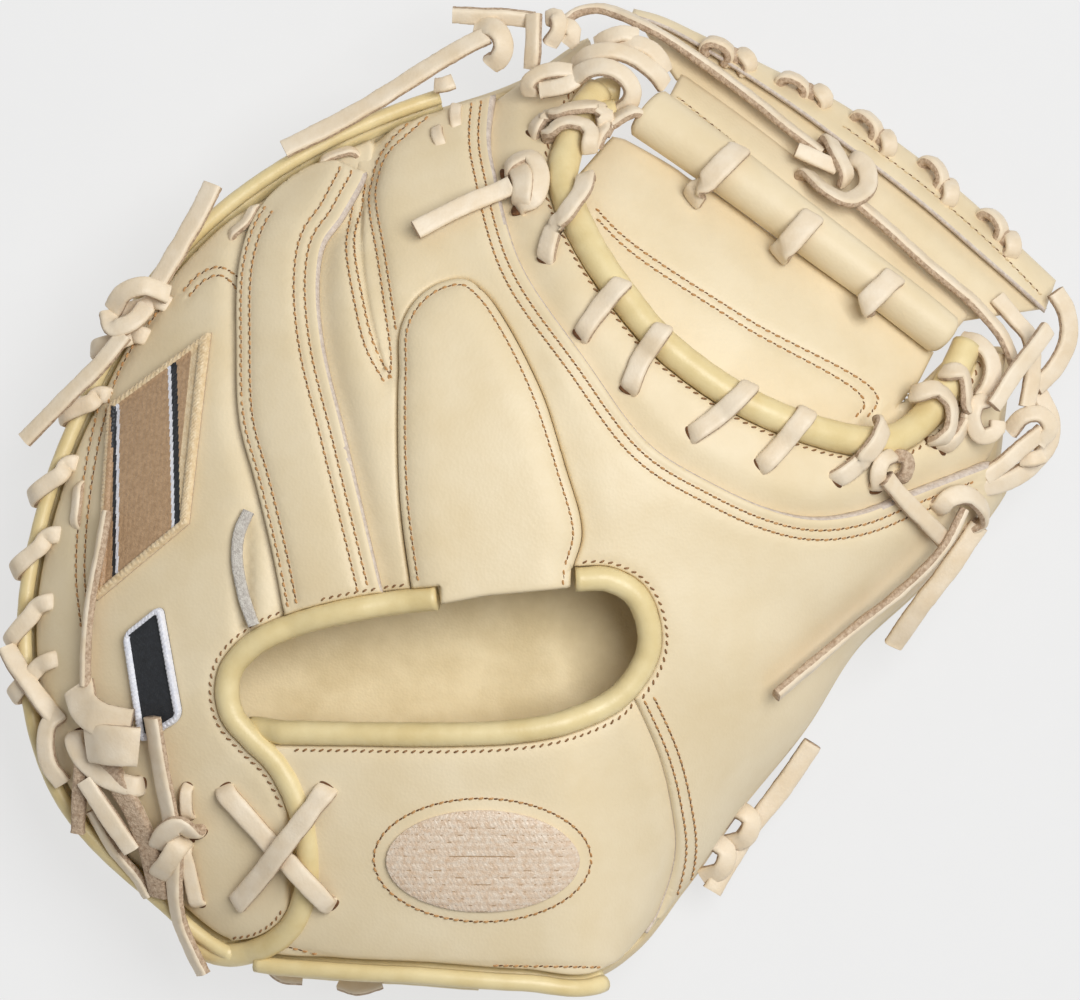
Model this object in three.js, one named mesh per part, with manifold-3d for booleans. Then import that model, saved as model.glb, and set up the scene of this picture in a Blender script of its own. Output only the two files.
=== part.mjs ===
// A catcher's mitt for the left hand, lying palm down as it rests on a table. Millimetres, +Z up.
// +Y points from the wrist to the finger tips, +X from the little finger to the thumb and web.
import * as THREE from "three";
import { mergeVertices } from "three/addons/utils/BufferGeometryUtils.js";
import Module from "manifold-3d";

const wasm = await Module();
wasm.setup();

// Driving sizes
const CROWN = 92; // highest point of the back above the table
const LEATHER = 3; // shell leather with its backing
const HAND_ROOM = 27; // hand cavity at its highest, between the back and the padding
const POCKET_CEILING = 47; // ball pocket above the table at the middle of the palm
const PALM_WALL = 11; // thinnest padding over the pocket
const MOUTH_ROOM = 33; // hand cavity at the wrist
const RING_AT = 0.74; // where the padded ring touches the table, as a share of the reach
const SEAM_GAP = 0.6; // slit between two panels that are sewn side by side
const ROLL_RADIUS = 3.1; // rolled binding of the hand opening
const COLLAR_RADIUS = 3.7; // rolled binding of the web side
const EDGE_RADIUS = 2.1; // binding of the outer edge
const HEM_RADIUS = 2.4; // binding of the wrist strap
const LACE_WIDTH = 5.8;
const LACE_THICK = 2.2;
const PATCH_THICK = 1.4;
const WEB_DROP = 7; // the web lies this far under the back's surface
const WEB_THICK = 4;
const COLLAR_LIFT = -1; // middle of the collar binding under the back's surface
const COLUMNS = 42; // facets round the mitt
// The plan is drawn about the middle of the hand; the origin is the middle of the whole footprint
const MIDDLE = { x: 0.8, y: 1.2 };

const LEATHER_LOOK = { color: 0xe8d6b2, roughness: 0.55 };
const PIPING_LOOK = { color: 0xdec887, roughness: 0.45 };
const LACE_LOOK = { color: 0xe0cbac, roughness: 0.6 };
const PALM_LOOK = { color: 0xe4d0aa, roughness: 0.6 };
const PATCH_LOOK = { color: 0xc4a077, roughness: 0.5 };

// Rows of a table become objects whose fields are the column names
function table(columns, rows) {
  return rows.map((row) =>
    Object.fromEntries(columns.map((column, i) => [column, row[i]])),
  );
}

// One row for each direction, in degrees from +X: how far the outline reaches, how high the edge
// seam stands, how upright the back turns down to it (small is upright), how far the shell stops
// inside the outline, how low the padded ring comes, and how open the hand cavity is at the edge
const SECTIONS = table(
  ["angle", "reach", "seam", "roll", "inset", "ring", "mouth"],
  [
    [0, 126, 26, 0.6, 0, 0, 0],
    [10, 139, 25, 0.75, 0, 14, 0],
    [22, 151, 25, 0.9, 0, 52, 0],
    [35, 142, 25, 0.9, 0, 60, 0],
    [50, 136, 25, 0.9, 0, 60, 0],
    [65, 133, 26, 0.9, 0, 52, 0],
    [79, 133, 28, 0.9, 0, 18, 0],
    [92, 119, 34, 0.85, 4, 0, 0],
    [105, 115, 39, 0.85, 5, 0, 0],
    [125, 116, 41, 0.85, 5, 0, 0],
    [145, 121, 42, 0.85, 5, 0, 0],
    [165, 127, 42, 0.85, 5, 0, 0],
    [180, 136, 42, 0.85, 5, 0, 0],
    [195, 147, 42, 0.8, 5, 0, 0],
    [211, 155, 42, 0.8, 5, 0, 0],
    [226, 152, 43, 0.8, 5, 0, 0],
    [236, 151, 46, 0.8, 5, 0, 1],
    [246, 141, 56, 0.85, 5, 0, 18],
    [256, 134, 62, 0.9, 5, 0, 33],
    [268, 132, 63, 0.9, 5, 0, 33],
    [276, 134, 58, 0.9, 5, 0, 18],
    [282, 128, 42, 0.8, 3, 0, 4],
    [290, 114, 27, 0.6, 0, 0, 0],
    [303, 101, 23, 0.5, 0, 0, 0],
    [320, 96, 22, 0.45, 0, 0, 0],
    [335, 96, 22, 0.45, 0, 0, 0],
    [347, 107, 24, 0.5, 0, 0, 0],
  ],
);

const XY = ["x", "y"];

// Seam between the little finger's back and the middle back, from the hand opening to the tips
const FINGER_SEAM = table(XY, [
  [-66.5, -34],
  [-70, -15.5],
  [-75, 5],
  [-79.5, 21.5],
  [-80.5, 42],
  [-80, 64.5],
  [-76, 77],
  [-69, 85],
  [-61, 90],
  [-47.5, 92],
]);
// Seam between the middle back and the forefinger's back, from the tips to the hand opening
const FOREFINGER_SEAM = table(XY, [
  [-43, 118],
  [-47.5, 92],
  [-53.5, 77],
  [-58.5, 69.5],
  [-60, 59],
  [-58.5, 42],
  [-52.5, 17.5],
  [-47.5, -3],
  [-41, -30],
]);
// Outline of the padded finger hood, from the hand opening up, round and down again
const HOOD_LINE = table(XY, [
  [-34, -30],
  [-38, 1],
  [-38.5, 34],
  [-38, 46.5],
  [-33.5, 54.5],
  [-27, 59],
  [-20, 60],
  [-14.5, 56],
  [-8, 46.5],
  [0.5, 29],
  [7, 9],
  [11.5, -9],
  [9, -19],
  [8.5, -25],
]);
// Cut edge where the web side's facing lies over the back, from the finger tips to the thumb tip
const FACING_LINE = table(XY, [
  [-10.5, 124],
  [-13.5, 99],
  [-12, 88.5],
  [-5, 63.5],
  [12.5, 37.5],
  [29.5, 15],
  [46.5, 4.5],
  [62, -2.5],
  [74, -5],
  [86.5, -3.5],
  [100.5, 2],
  [122, 10],
]);
// Centre of the rolled binding on the web side, from the finger tips to the thumb tip
const COLLAR_LINE = table(XY, [
  [18, 111],
  [8, 98],
  [6, 86.5],
  [12.5, 70],
  [25, 51.5],
  [35, 40.5],
  [56, 26],
  [80.5, 17],
  [94, 16],
  [103, 21],
  [110, 30],
  [116, 42],
]);
// Leather edge under the binding that starts over the hand opening and runs round the wrist tab
const TAB_LINE = table(XY, [
  [-28, -23],
  [-52.5, -26.5],
  [-70, -31.5],
  [-79.5, -36.5],
  [-86, -44],
  [-87.5, -52],
  [-85.5, -60],
  [-80, -66.5],
  [-73, -73.5],
  [-68, -84],
  [-66, -94],
  [-66.5, -105],
  [-70, -113.5],
  [-76.5, -118.5],
  [-86, -120.5],
]);
// Leather edge under the binding of the strap side of the hand opening, right to left
const STRAP_LINE = table(XY, [
  [9.5, -18],
  [19, -18],
  [28, -23],
  [32.5, -33],
  [32, -43],
  [24, -55],
  [10.5, -62],
  [-7.5, -65.5],
  [-67, -66],
]);
// Seam of the wrist strap on the thumb side, top to bottom
const STRAP_SEAM = table(XY, [
  [25, -52],
  [32.5, -69],
  [36, -82.5],
  [37.5, -96],
  [33.5, -112],
  [27, -124],
  [22, -140],
]);

// Value of every section column in one direction, smooth all the way round
function sectionAt(degrees) {
  const count = SECTIONS.length;
  const angle = ((degrees % 360) + 360) % 360;
  let i = count - 1;
  while (SECTIONS[i].angle > angle) i -= 1;
  const row = (k) => SECTIONS[((k % count) + count) % count];
  const angleOf = (k) => row(k).angle + 360 * Math.floor(k / count);
  const span = angleOf(i + 1) - angleOf(i);
  const t = (angle - angleOf(i)) / span;
  const value = {};
  for (const column of ["reach", "seam", "roll", "inset", "ring", "mouth"]) {
    const slope = (k) =>
      (row(k + 1)[column] - row(k - 1)[column]) /
      (angleOf(k + 1) - angleOf(k - 1));
    const a = row(i)[column];
    const b = row(i + 1)[column];
    const inSlope = slope(i) * span;
    const outSlope = slope(i + 1) * span;
    value[column] =
      a * (2 * t ** 3 - 3 * t ** 2 + 1) +
      inSlope * (t ** 3 - 2 * t ** 2 + t) +
      b * (3 * t ** 2 - 2 * t ** 3) +
      outSlope * (t ** 3 - t ** 2);
  }
  return value;
}

// Height of the back over a point of the plan; past the seam it goes on down
function backHeight(x, y) {
  const section = sectionAt(THREE.MathUtils.radToDeg(Math.atan2(y, x)));
  const share = Math.hypot(x, y) / (section.reach - section.inset);
  const round = (1 - Math.min(share, 1) ** 2) ** section.roll;
  const past = Math.max(share - 1, 0) * section.reach;
  return section.seam + (CROWN - section.seam) * round - past * 0.8;
}

// A point on the back, raised along its normal
function onBack(x, y, lift) {
  const section = sectionAt(THREE.MathUtils.radToDeg(Math.atan2(y, x)));
  const share = Math.hypot(x, y) / (section.reach - section.inset);
  const pull = share > 0.975 ? 0.975 / share : 1;
  const step = 0.5;
  const [u, v] = [x * pull, y * pull];
  const slopeX = backHeight(u + step, v) - backHeight(u - step, v);
  const slopeY = backHeight(u, v + step) - backHeight(u, v - step);
  const normal = new THREE.Vector3(-slopeX, -slopeY, 2 * step).normalize();
  return new THREE.Vector3(x, y, backHeight(x, y)).addScaledVector(normal, lift);
}

// A point at a lift over the back that stands straight above its place in the plan
function overPlan(x, y, lift) {
  const up = onBack(x, y, 1).sub(onBack(x, y, 0));
  return onBack(x - up.x * lift, y - up.y * lift, lift);
}

const flat = ({ x, y }) => new THREE.Vector3(x, y, 0);

// Points about one step apart along the smooth curve through a table's rows
function along(rows, step = 7) {
  const curve = new THREE.CatmullRomCurve3(rows.map(flat), false, "centripetal");
  return curve.getSpacedPoints(Math.max(2, Math.round(curve.getLength() / step)));
}

// A line of the plan moved sideways, to its left where the distance is positive
function beside(points, distance) {
  return points.map((point, i) => {
    const before = points[Math.max(i - 1, 0)];
    const after = points[Math.min(i + 1, points.length - 1)];
    const way = after.clone().sub(before).normalize();
    return new THREE.Vector3(
      point.x - way.y * distance,
      point.y + way.x * distance,
      0,
    );
  });
}

function solid(geometry) {
  const bare = geometry.index ? geometry : geometry.clone();
  bare.deleteAttribute("normal");
  bare.deleteAttribute("uv");
  const merged = mergeVertices(bare, 1e-4);
  return new wasm.Manifold(
    new wasm.Mesh({
      numProp: 3,
      vertProperties: new Float32Array(merged.attributes.position.array),
      triVerts: new Uint32Array(merged.index.array),
    }),
  );
}

// Upright prism over a closed outline, taller than the mitt
const PRISM = { foot: -60, height: 260 };
function prism(points) {
  const shape = new THREE.Shape(points.map((p) => new THREE.Vector2(p.x, p.y)));
  const geometry = new THREE.ExtrudeGeometry(shape, {
    depth: PRISM.height,
    bevelEnabled: false,
  });
  return solid(geometry.translate(0, 0, PRISM.foot));
}

// Upright blade that parts two panels along a line
const blade = (points) =>
  prism([
    ...beside(points, SEAM_GAP / 2),
    ...beside(points, -SEAM_GAP / 2).reverse(),
  ]);

// Closed skin from rows of points: every row is one loop, and both ends are capped
function loft(loops) {
  const size = loops[0].length;
  const positions = loops.flat().flatMap((p) => [p.x, p.y, p.z]);
  const faces = [];
  for (let i = 0; i + 1 < loops.length; i++)
    for (let k = 0; k < size; k++) {
      const a = i * size + k;
      const b = i * size + ((k + 1) % size);
      faces.push(a, b, b + size, a, b + size, a + size);
    }
  const last = (loops.length - 1) * size;
  for (let k = 1; k + 1 < size; k++) {
    faces.push(0, k + 1, k);
    faces.push(last, last + k, last + k + 1);
  }
  return new THREE.BufferGeometry()
    .setAttribute("position", new THREE.Float32BufferAttribute(positions, 3))
    .setIndex(faces);
}

// Closed plate between an upper and a lower skin, each a function of ring share and angle
function plate(rings, columns, upper, lower) {
  const positions = [];
  const faces = [];
  const place = (skin, share, column) => {
    const p = skin(share, (column / columns) * 2 * Math.PI);
    positions.push(p.x, p.y, p.z);
  };
  for (const skin of [upper, lower]) {
    place(skin, 0, 0);
    for (const share of rings)
      for (let c = 0; c < columns; c++) place(skin, share, c);
  }
  const half = 1 + rings.length * columns;
  const index = (skin, ring, c) => skin * half + 1 + ring * columns + (c % columns);
  for (let c = 0; c < columns; c++) {
    faces.push(0, index(0, 0, c), index(0, 0, c + 1));
    faces.push(half, index(1, 0, c + 1), index(1, 0, c));
    for (let r = 0; r + 1 < rings.length; r++) {
      const corners = (skin) => [
        index(skin, r, c),
        index(skin, r + 1, c),
        index(skin, r + 1, c + 1),
        index(skin, r, c + 1),
      ];
      const [a, b, d, e] = corners(0);
      faces.push(a, b, d, a, d, e);
      const [f, g, h, j] = corners(1);
      faces.push(f, h, g, f, j, h);
    }
    const rim = rings.length - 1;
    const [a, b] = [index(0, rim, c), index(0, rim, c + 1)];
    const [d, e] = [index(1, rim, c), index(1, rim, c + 1)];
    faces.push(a, d, e, a, e, b);
  }
  return new THREE.BufferGeometry()
    .setAttribute("position", new THREE.Float32BufferAttribute(positions, 3))
    .setIndex(faces);
}

const SHELL_RINGS = [0.24, 0.46, 0.64, 0.78, 0.88, 0.95, 0.983, 1];

// The whole back as one leather skin, at a lift over the mitt's form
function shell(lift) {
  const skin = (depth) => (share, angle) => {
    const section = sectionAt(THREE.MathUtils.radToDeg(angle));
    const distance = share * (section.reach - section.inset);
    return onBack(
      distance * Math.cos(angle),
      distance * Math.sin(angle),
      lift - depth,
    );
  };
  return solid(plate(SHELL_RINGS, COLUMNS, skin(0), skin(LEATHER)));
}

// Lines of the plan that several pieces share
const fingerSeam = along(FINGER_SEAM);
const forefingerSeam = along(FOREFINGER_SEAM);
const hoodLine = along(HOOD_LINE);
const facingLine = along(FACING_LINE);
const collarLine = along(COLLAR_LINE, 6);
const tabLine = along(TAB_LINE, 5);
const strapLine = along(STRAP_LINE, 6);
const strapSeam = along(STRAP_SEAM);
const spot = (x, y) => new THREE.Vector3(x, y, 0);
const FAR = 190; // beyond the outline on every side
const TAB_FOOT = -66; // y where the tab's edge leaves the hand opening
const THUMB_TIP = { x: 127, y: 40 }; // where the web's end meets the thumb
const THUMB_SIDE = table(XY, [
  [124, 10],
  [132, -20],
]);
const THUMB_END = 60; // y past which nothing of the thumb is left
const FACING_END = 110; // x where the facing's cut over the thumb's tip starts
// Edge of the finger backs over the hand opening, from the hood to the tab's binding
const OPENING_TOP = table(XY, [
  [8.4, -18.4],
  [8.2, -23.4],
  [-14.5, -25.5],
  [-26.5, -27.8],
  [-26.5, -22.8],
]);
const PANEL_FOOT = -40; // y inside the hand opening, below the finger backs
const foot = (line) => spot(line.x, PANEL_FOOT);
const tips = (line) => spot(line.x, FAR);
const heel = (line) => spot(line.x, -FAR);

// The hand opening between the wrist strap and the finger backs
const handOpening = prism([
  ...tabLine.filter((p) => p.y > TAB_FOOT),
  ...strapLine.slice().reverse(),
  ...OPENING_TOP.map(flat),
]);
const hoodArea = prism([...hoodLine, foot(HOOD_LINE.at(-1)), foot(HOOD_LINE[0])]);
// Everything on the far side of the collar, which the web fills
const webNotch = prism([
  ...beside(collarLine, -COLLAR_RADIUS - 0.5),
  flat(THUMB_TIP),
  spot(FAR, THUMB_TIP.y),
  spot(FAR, FAR),
  tips(COLLAR_LINE[0]),
]);
const thumbTipCut = prism([
  flat(THUMB_TIP),
  ...THUMB_SIDE.map(flat),
  spot(FAR, THUMB_SIDE[1].y),
  spot(FAR, THUMB_END),
  spot(THUMB_TIP.x, THUMB_END),
]);

const cut = (body, ...tools) => tools.reduce((left, tool) => left.subtract(tool), body);

const backSkin = shell(0);
const pinkyBack = cut(
  backSkin.intersect(
    prism([
      ...fingerSeam,
      flat(FOREFINGER_SEAM[0]),
      tips(FOREFINGER_SEAM[0]),
      spot(-FAR, FAR),
      spot(-FAR, -FAR),
      heel(TAB_LINE.at(-1)),
      ...tabLine.filter((p) => p.x < -68).reverse(),
    ]),
  ),
  blade(fingerSeam),
  blade(forefingerSeam),
  blade(tabLine),
  handOpening,
);
const middleBack = cut(
  shell(1).intersect(
    prism([
      ...fingerSeam,
      ...forefingerSeam.filter((p) => p.y < 91.5),
      foot(FOREFINGER_SEAM.at(-1)),
      foot(FINGER_SEAM[0]),
    ]),
  ),
  blade(fingerSeam),
  blade(forefingerSeam),
  handOpening,
  blade(tabLine),
);
const mainBack = cut(
  backSkin.intersect(
    prism([
      ...forefingerSeam,
      spot(OPENING_TOP[2].x, PANEL_FOOT),
      ...strapSeam,
      heel(STRAP_SEAM.at(-1)),
      spot(FAR, -FAR),
      spot(FAR, FACING_LINE.at(-1).y),
      ...facingLine.slice().reverse(),
      tips(FACING_LINE[0]),
      tips(FOREFINGER_SEAM[0]),
    ]),
  ),
  blade(forefingerSeam),
  blade(facingLine),
  blade(strapSeam),
  hoodArea,
  blade(hoodLine),
  blade(tabLine),
  handOpening,
  thumbTipCut,
);
const fingerHood = cut(
  shell(2).intersect(hoodArea),
  blade(hoodLine),
  blade(tabLine),
  handOpening,
);
const webFacing = cut(
  backSkin.intersect(
    prism([
      ...facingLine,
      spot(THUMB_TIP.x, FACING_LINE.at(-1).y + 20),
      spot(THUMB_TIP.x, THUMB_END),
      spot(FACING_END, THUMB_END),
      ...collarLine.slice().reverse(),
      tips(COLLAR_LINE[0]),
      tips(FACING_LINE[0]),
    ]),
  ),
  blade(facingLine),
  webNotch,
  thumbTipCut,
);
const wristStrap = cut(
  backSkin.intersect(
    prism([
      ...strapLine.filter((p) => p.y < -54).reverse(),
      ...strapSeam,
      heel(STRAP_SEAM.at(-1)),
      spot(TAB_FOOT, -FAR),
      ...beside(tabLine, 2 * ROLL_RADIUS + 0.9)
        .filter((p) => p.y < TAB_FOOT)
        .reverse(),
    ]),
  ),
  blade(strapSeam),
  handOpening,
);

// The padded palm: a ring that lies on the table, round a pocket that deepens towards the web
const PALM_RINGS = [0.18, 0.34, 0.48, 0.6, 0.69, 0.76, 0.84, 0.93, 1];
const PALM_INSET = 1.6;
const HEEL_STEP = 4; // the heel of the palm stands this far out under the strap
const POCKET_EDGE = 0.2;

function nearCollar(x, y) {
  const here = spot(x, y);
  return Math.min(...collarLine.map((p) => p.distanceTo(here)));
}

function padTop(x, y) {
  const section = sectionAt(THREE.MathUtils.radToDeg(Math.atan2(y, x)));
  const reach = section.reach - section.inset;
  const share = Math.hypot(x, y) / reach;
  const outward = Math.min(1 + (LEATHER + 2) / Math.max(share * reach, 12), 1 / share);
  const under = backHeight(x * outward, y * outward) - LEATHER - 0.9;
  const room = HAND_ROOM * (1 - share ** 2.6) + section.mouth * share ** 2.6;
  const closing = THREE.MathUtils.smoothstep(nearCollar(x, y), 6, 34);
  return under - room * Math.max(closing, share > 0.9 ? section.mouth / MOUTH_ROOM : 0);
}

function padLow(x, y) {
  const section = sectionAt(THREE.MathUtils.radToDeg(Math.atan2(y, x)));
  const share = Math.hypot(x, y) / (section.reach - section.inset);
  const ceiling = Math.max(POCKET_CEILING, section.ring);
  const ring = Math.max(section.ring, 0) - 2.5;
  const slide = THREE.MathUtils.clamp(
    (share - POCKET_EDGE) / (RING_AT - POCKET_EDGE),
    0,
    1,
  );
  const wave = 0.5 + 0.5 * Math.cos(Math.PI * slide);
  const outer = Math.max(share - RING_AT, 0) / (1 - RING_AT);
  const seamFoot = Math.max(Math.min(section.seam, 42) - 18, 6);
  const low =
    share < RING_AT
      ? ring + (ceiling - ring) * wave
      : ring + (seamFoot - ring) * outer ** 2.4;
  return Math.max(Math.min(low, padTop(x, y) - PALM_WALL), 0);
}

function palmSkin(height) {
  return (share, angle) => {
    const section = sectionAt(THREE.MathUtils.radToDeg(angle));
    const heel = (HEEL_STEP * section.mouth) / MOUTH_ROOM;
    const distance = share * (section.reach - section.inset - PALM_INSET + heel);
    const x = distance * Math.cos(angle);
    const y = distance * Math.sin(angle);
    return new THREE.Vector3(x, y, height(x, y));
  };
}
const palmPad = cut(
  solid(plate(PALM_RINGS, COLUMNS, palmSkin(padTop), palmSkin(padLow))),
  webNotch,
  thumbTipCut,
);

// Round tube through points of space
function tube(points, radius, { sides = 8, steps = 0, across = radius } = {}) {
  const curve = new THREE.CatmullRomCurve3(points, false, "centripetal");
  const shape = new THREE.Shape();
  for (let k = 0; k < sides; k++) {
    const angle = (2 * Math.PI * (k + 0.5)) / sides;
    const x = radius * Math.cos(angle);
    const y = across * Math.sin(angle);
    if (k === 0) shape.moveTo(x, y);
    else shape.lineTo(x, y);
  }
  return new THREE.ExtrudeGeometry(shape, {
    steps: steps || Math.round(curve.getLength() / 11),
    extrudePath: curve,
    bevelEnabled: false,
  });
}

const bindingTube = (line, lift, radius) =>
  tube(
    line.map((p) => onBack(p.x, p.y, lift)),
    radius,
  );

// Point on the outer edge, some distance past the shell's seam and down from it
function onEdge(degrees, past, drop) {
  const section = sectionAt(degrees);
  const angle = THREE.MathUtils.degToRad(degrees);
  const distance = section.reach - section.inset + past;
  return new THREE.Vector3(
    distance * Math.cos(angle),
    distance * Math.sin(angle),
    section.seam - drop,
  );
}

function edgeTube(from, to, past, drop, radius) {
  const points = [];
  for (let a = from; a <= to; a += 6) points.push(onEdge(a, past, drop));
  return tube(points, radius, { sides: 6, steps: Math.round((to - from) / 7) });
}

const tabBinding = beside(tabLine, ROLL_RADIUS + 0.4);
const strapBinding = beside(strapLine, -ROLL_RADIUS - 0.4);

// Leather thong of rectangular section through points of space, its broad side facing the ups
function band(centres, ups, width = LACE_WIDTH, thick = LACE_THICK) {
  const last = centres.length - 1;
  const loops = centres.map((centre, i) => {
    const before = centres[Math.max(i - 1, 0)];
    const way = centres[Math.min(i + 1, last)].clone().sub(before).normalize();
    const side = new THREE.Vector3().crossVectors(way, ups[i]).normalize();
    const up = new THREE.Vector3().crossVectors(side, way);
    const corner = (a, b) =>
      centre
        .clone()
        .addScaledVector(side, (a * width) / 2)
        .addScaledVector(up, (b * thick) / 2);
    return [corner(-1, 1), corner(1, 1), corner(1, -1), corner(-1, -1)];
  });
  return solid(loft(loops));
}

// Thong that follows the back: rows of x, y and the lift of its middle over the back
function thong(rows, width = LACE_WIDTH, thick = LACE_THICK, step = 8, place = overPlan) {
  const curve = new THREE.CatmullRomCurve3(
    rows.map(([x, y, lift]) => new THREE.Vector3(x, y, lift)),
    false,
    "centripetal",
  );
  const count = Math.max(2, Math.round(curve.getLength() / step));
  const spots = curve.getSpacedPoints(count);
  const centres = spots.map((p) => place(p.x, p.y, p.z));
  const ups = spots.map((p) => onBack(p.x, p.y, 1).sub(onBack(p.x, p.y, 0)));
  return band(centres, ups, width, thick);
}

// Loose thong through points of space, broad side up
function tail(points, width = LACE_WIDTH, thick = LACE_THICK, step = 10) {
  const curve = new THREE.CatmullRomCurve3(
    points.map(([x, y, z]) => new THREE.Vector3(x, y, z)),
    false,
    "centripetal",
  );
  const count = Math.max(2, Math.round(curve.getLength() / step));
  const up = new THREE.Vector3(0, 0, 1);
  return band(
    curve.getSpacedPoints(count),
    Array.from({ length: count + 1 }, () => up),
    width,
    thick,
  );
}

// Signed distance of a point of the plan from a line, positive on the line's left
function leftOf(line, x, y) {
  const here = spot(x, y);
  let best = Infinity;
  let sign = 1;
  for (let i = 0; i + 1 < line.length; i++) {
    const a = line[i];
    const way = line[i + 1].clone().sub(a);
    const t = THREE.MathUtils.clamp(
      here.clone().sub(a).dot(way) / way.lengthSq(),
      0,
      1,
    );
    const distance = a.clone().addScaledVector(way, t).distanceTo(here);
    if (distance >= best) continue;
    best = distance;
    sign = way.x * (here.y - a.y) - way.y * (here.x - a.x) > 0 ? 1 : -1;
  }
  return best * sign;
}

// Thong from one point of the plan to another that climbs over a round binding or bar on its way.
// The ground is its lift before and after the crossing.
const CLEAR = 0.7;
function crossing(from, to, line, round, ground, hump = 0, stations = 8) {
  const way = to.clone().sub(from).normalize();
  const rows = [];
  for (let i = 0; i <= stations; i++) {
    const share = i / stations;
    const here = from.clone().lerp(to, share);
    const sides = [-1, 0, 1].map((k) => {
      const reach = (k * LACE_WIDTH) / 2;
      return leftOf(line, here.x - way.y * reach, here.y + way.x * reach);
    });
    const near = Math.min(...sides) * Math.max(...sides) < 0;
    const side = near ? 0 : Math.min(...sides.map(Math.abs));
    const run = side / (round.wide + LACE_THICK / 2 + CLEAR);
    const height = round.high + LACE_THICK / 2 + CLEAR;
    const arc = run < 1 ? round.lift + height * Math.sqrt(1 - run ** 2) : -99;
    const slope = sides[1] > 0 ? Math.max(ground[1], ground[0] - side * 2) : ground[0];
    const rise = hump * Math.max(0, 1 - ((share - 0.5) / 0.4) ** 2);
    rows.push([here.x, here.y, Math.max(arc, slope + rise)]);
  }
  return thong(rows, LACE_WIDTH, LACE_THICK, 3, onBack);
}

// Strip that follows the back between two lines with equally many points
function strip(inner, outer, lifts, thick, across = 3) {
  const loops = inner.map((a, i) => {
    const b = outer[i];
    const point = (share, depth) => {
      const lift = lifts[0] + (lifts[1] - lifts[0]) * share;
      const [x, y] = [a.x + (b.x - a.x) * share, a.y + (b.y - a.y) * share];
      return overPlan(x, y, lift - depth);
    };
    const shares = Array.from({ length: across }, (_, k) => k / (across - 1));
    return [
      ...shares.map((share) => point(share, 0)).reverse(),
      ...shares.map((share) => point(share, thick)),
    ];
  });
  return solid(loft(loops));
}

function spaced(points, count) {
  const curve = new THREE.CatmullRomCurve3(points.map(flat), false, "centripetal");
  return curve.getSpacedPoints(count);
}

// Lines of the web, from the finger tips' end to the thumb's end
const BAR_AXIS = table(XY, [
  [28.6, 105.2],
  [46.1, 92.7],
  [74.5, 71.1],
  [95.7, 55.2],
  [106, 46.8],
]);
const STRIP_INNER = table(XY, [
  [37, 112],
  [74, 80],
  [108, 50.5],
]);
const STRIP_OUTER = table(XY, [
  [40, 118],
  [69, 95],
  [93, 73],
  [113, 54],
]);
const RIM_INNER = table(XY, [
  [35, 128],
  [65.5, 109],
  [84.5, 95],
  [104, 80],
  [122.5, 64],
  [134, 54.5],
]);
const RIM_OUTER = table(XY, [
  [30, 132],
  [62, 118.5],
  [82, 108.5],
  [100, 96],
  [117, 82.5],
  [134, 66.5],
  [141, 60],
]);
const STRIPS = 9;
const BAR = { lift: -1.5, wide: 7, high: 6.2 };
const PANEL_TUCK = 1.6; // the panel's edge passes under the collar binding
const BAR_GAP = 0.6; // between the panel's edge and the bar
const barAxis = spaced(BAR_AXIS, STRIPS);
const stripInner = spaced(STRIP_INNER, STRIPS);
const stripOuter = spaced(STRIP_OUTER, STRIPS);
const rimInner = spaced(RIM_INNER, STRIPS);
const rimOuter = spaced(RIM_OUTER, STRIPS);
const panelInner = beside(collarLine, PANEL_TUCK).slice(2, -3);
const panelOuter = beside(spaced(BAR_AXIS, panelInner.length - 1), -BAR_GAP - BAR.wide);
const WEB_LIFT = -WEB_DROP;
const COLLAR = { lift: COLLAR_LIFT, wide: COLLAR_RADIUS + 0.9, high: COLLAR_RADIUS };
const TAB = { lift: -1, wide: ROLL_RADIUS + 0.6, high: ROLL_RADIUS };
const REST = LACE_THICK / 2 + CLEAR; // lift of a lace that lies on the leather

// Both ends of each lace over the collar, the facing's end first
const COLLAR_LACES = table(
  ["x", "y", "webX", "webY"],
  [
    [-4, 100.5, 14, 106],
    [1, 92, 15.5, 91],
    [-0.5, 66, 14, 82],
    [9.5, 44.5, 25, 62],
    [23, 28.5, 37, 49],
    [40, 16.5, 58, 34],
    [58, 8, 74, 27],
    [78.5, 4.5, 90, 24],
    [103, 11, 104.5, 29],
  ],
);
const BAR_LACES = table(
  ["x", "y", "farX", "farY"],
  [
    [40, 82, 54.6, 98],
    [63, 65.5, 77, 80.5],
    [85, 50.5, 96, 61.8],
  ],
);

// Tables of the edge lacing: direction of each loop's outer and inner end, in degrees
const EDGE_LOOPS = table(
  ["outer", "inner"],
  [
    [157, 153.6],
    [161.4, 158.6],
    [170, 165.4],
    [180, 176],
    [188, 184.2],
    [195.4, 191.8],
    [201.4, 198],
  ],
);
// Section of one loop: how far along from outer to inner end, how far past the seam, how far down
const LOOP_SECTION = table(
  ["along", "past", "drop"],
  [
    [0, 0.8, 9],
    [0.05, 4.8, 8],
    [0.15, 7.2, 4],
    [0.3, 7, -0.8],
    [0.5, 3.2, -3.6],
    [0.7, -1.4, -5.4],
  ],
);
const LOOP_WIDTH = 4.6;

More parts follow.
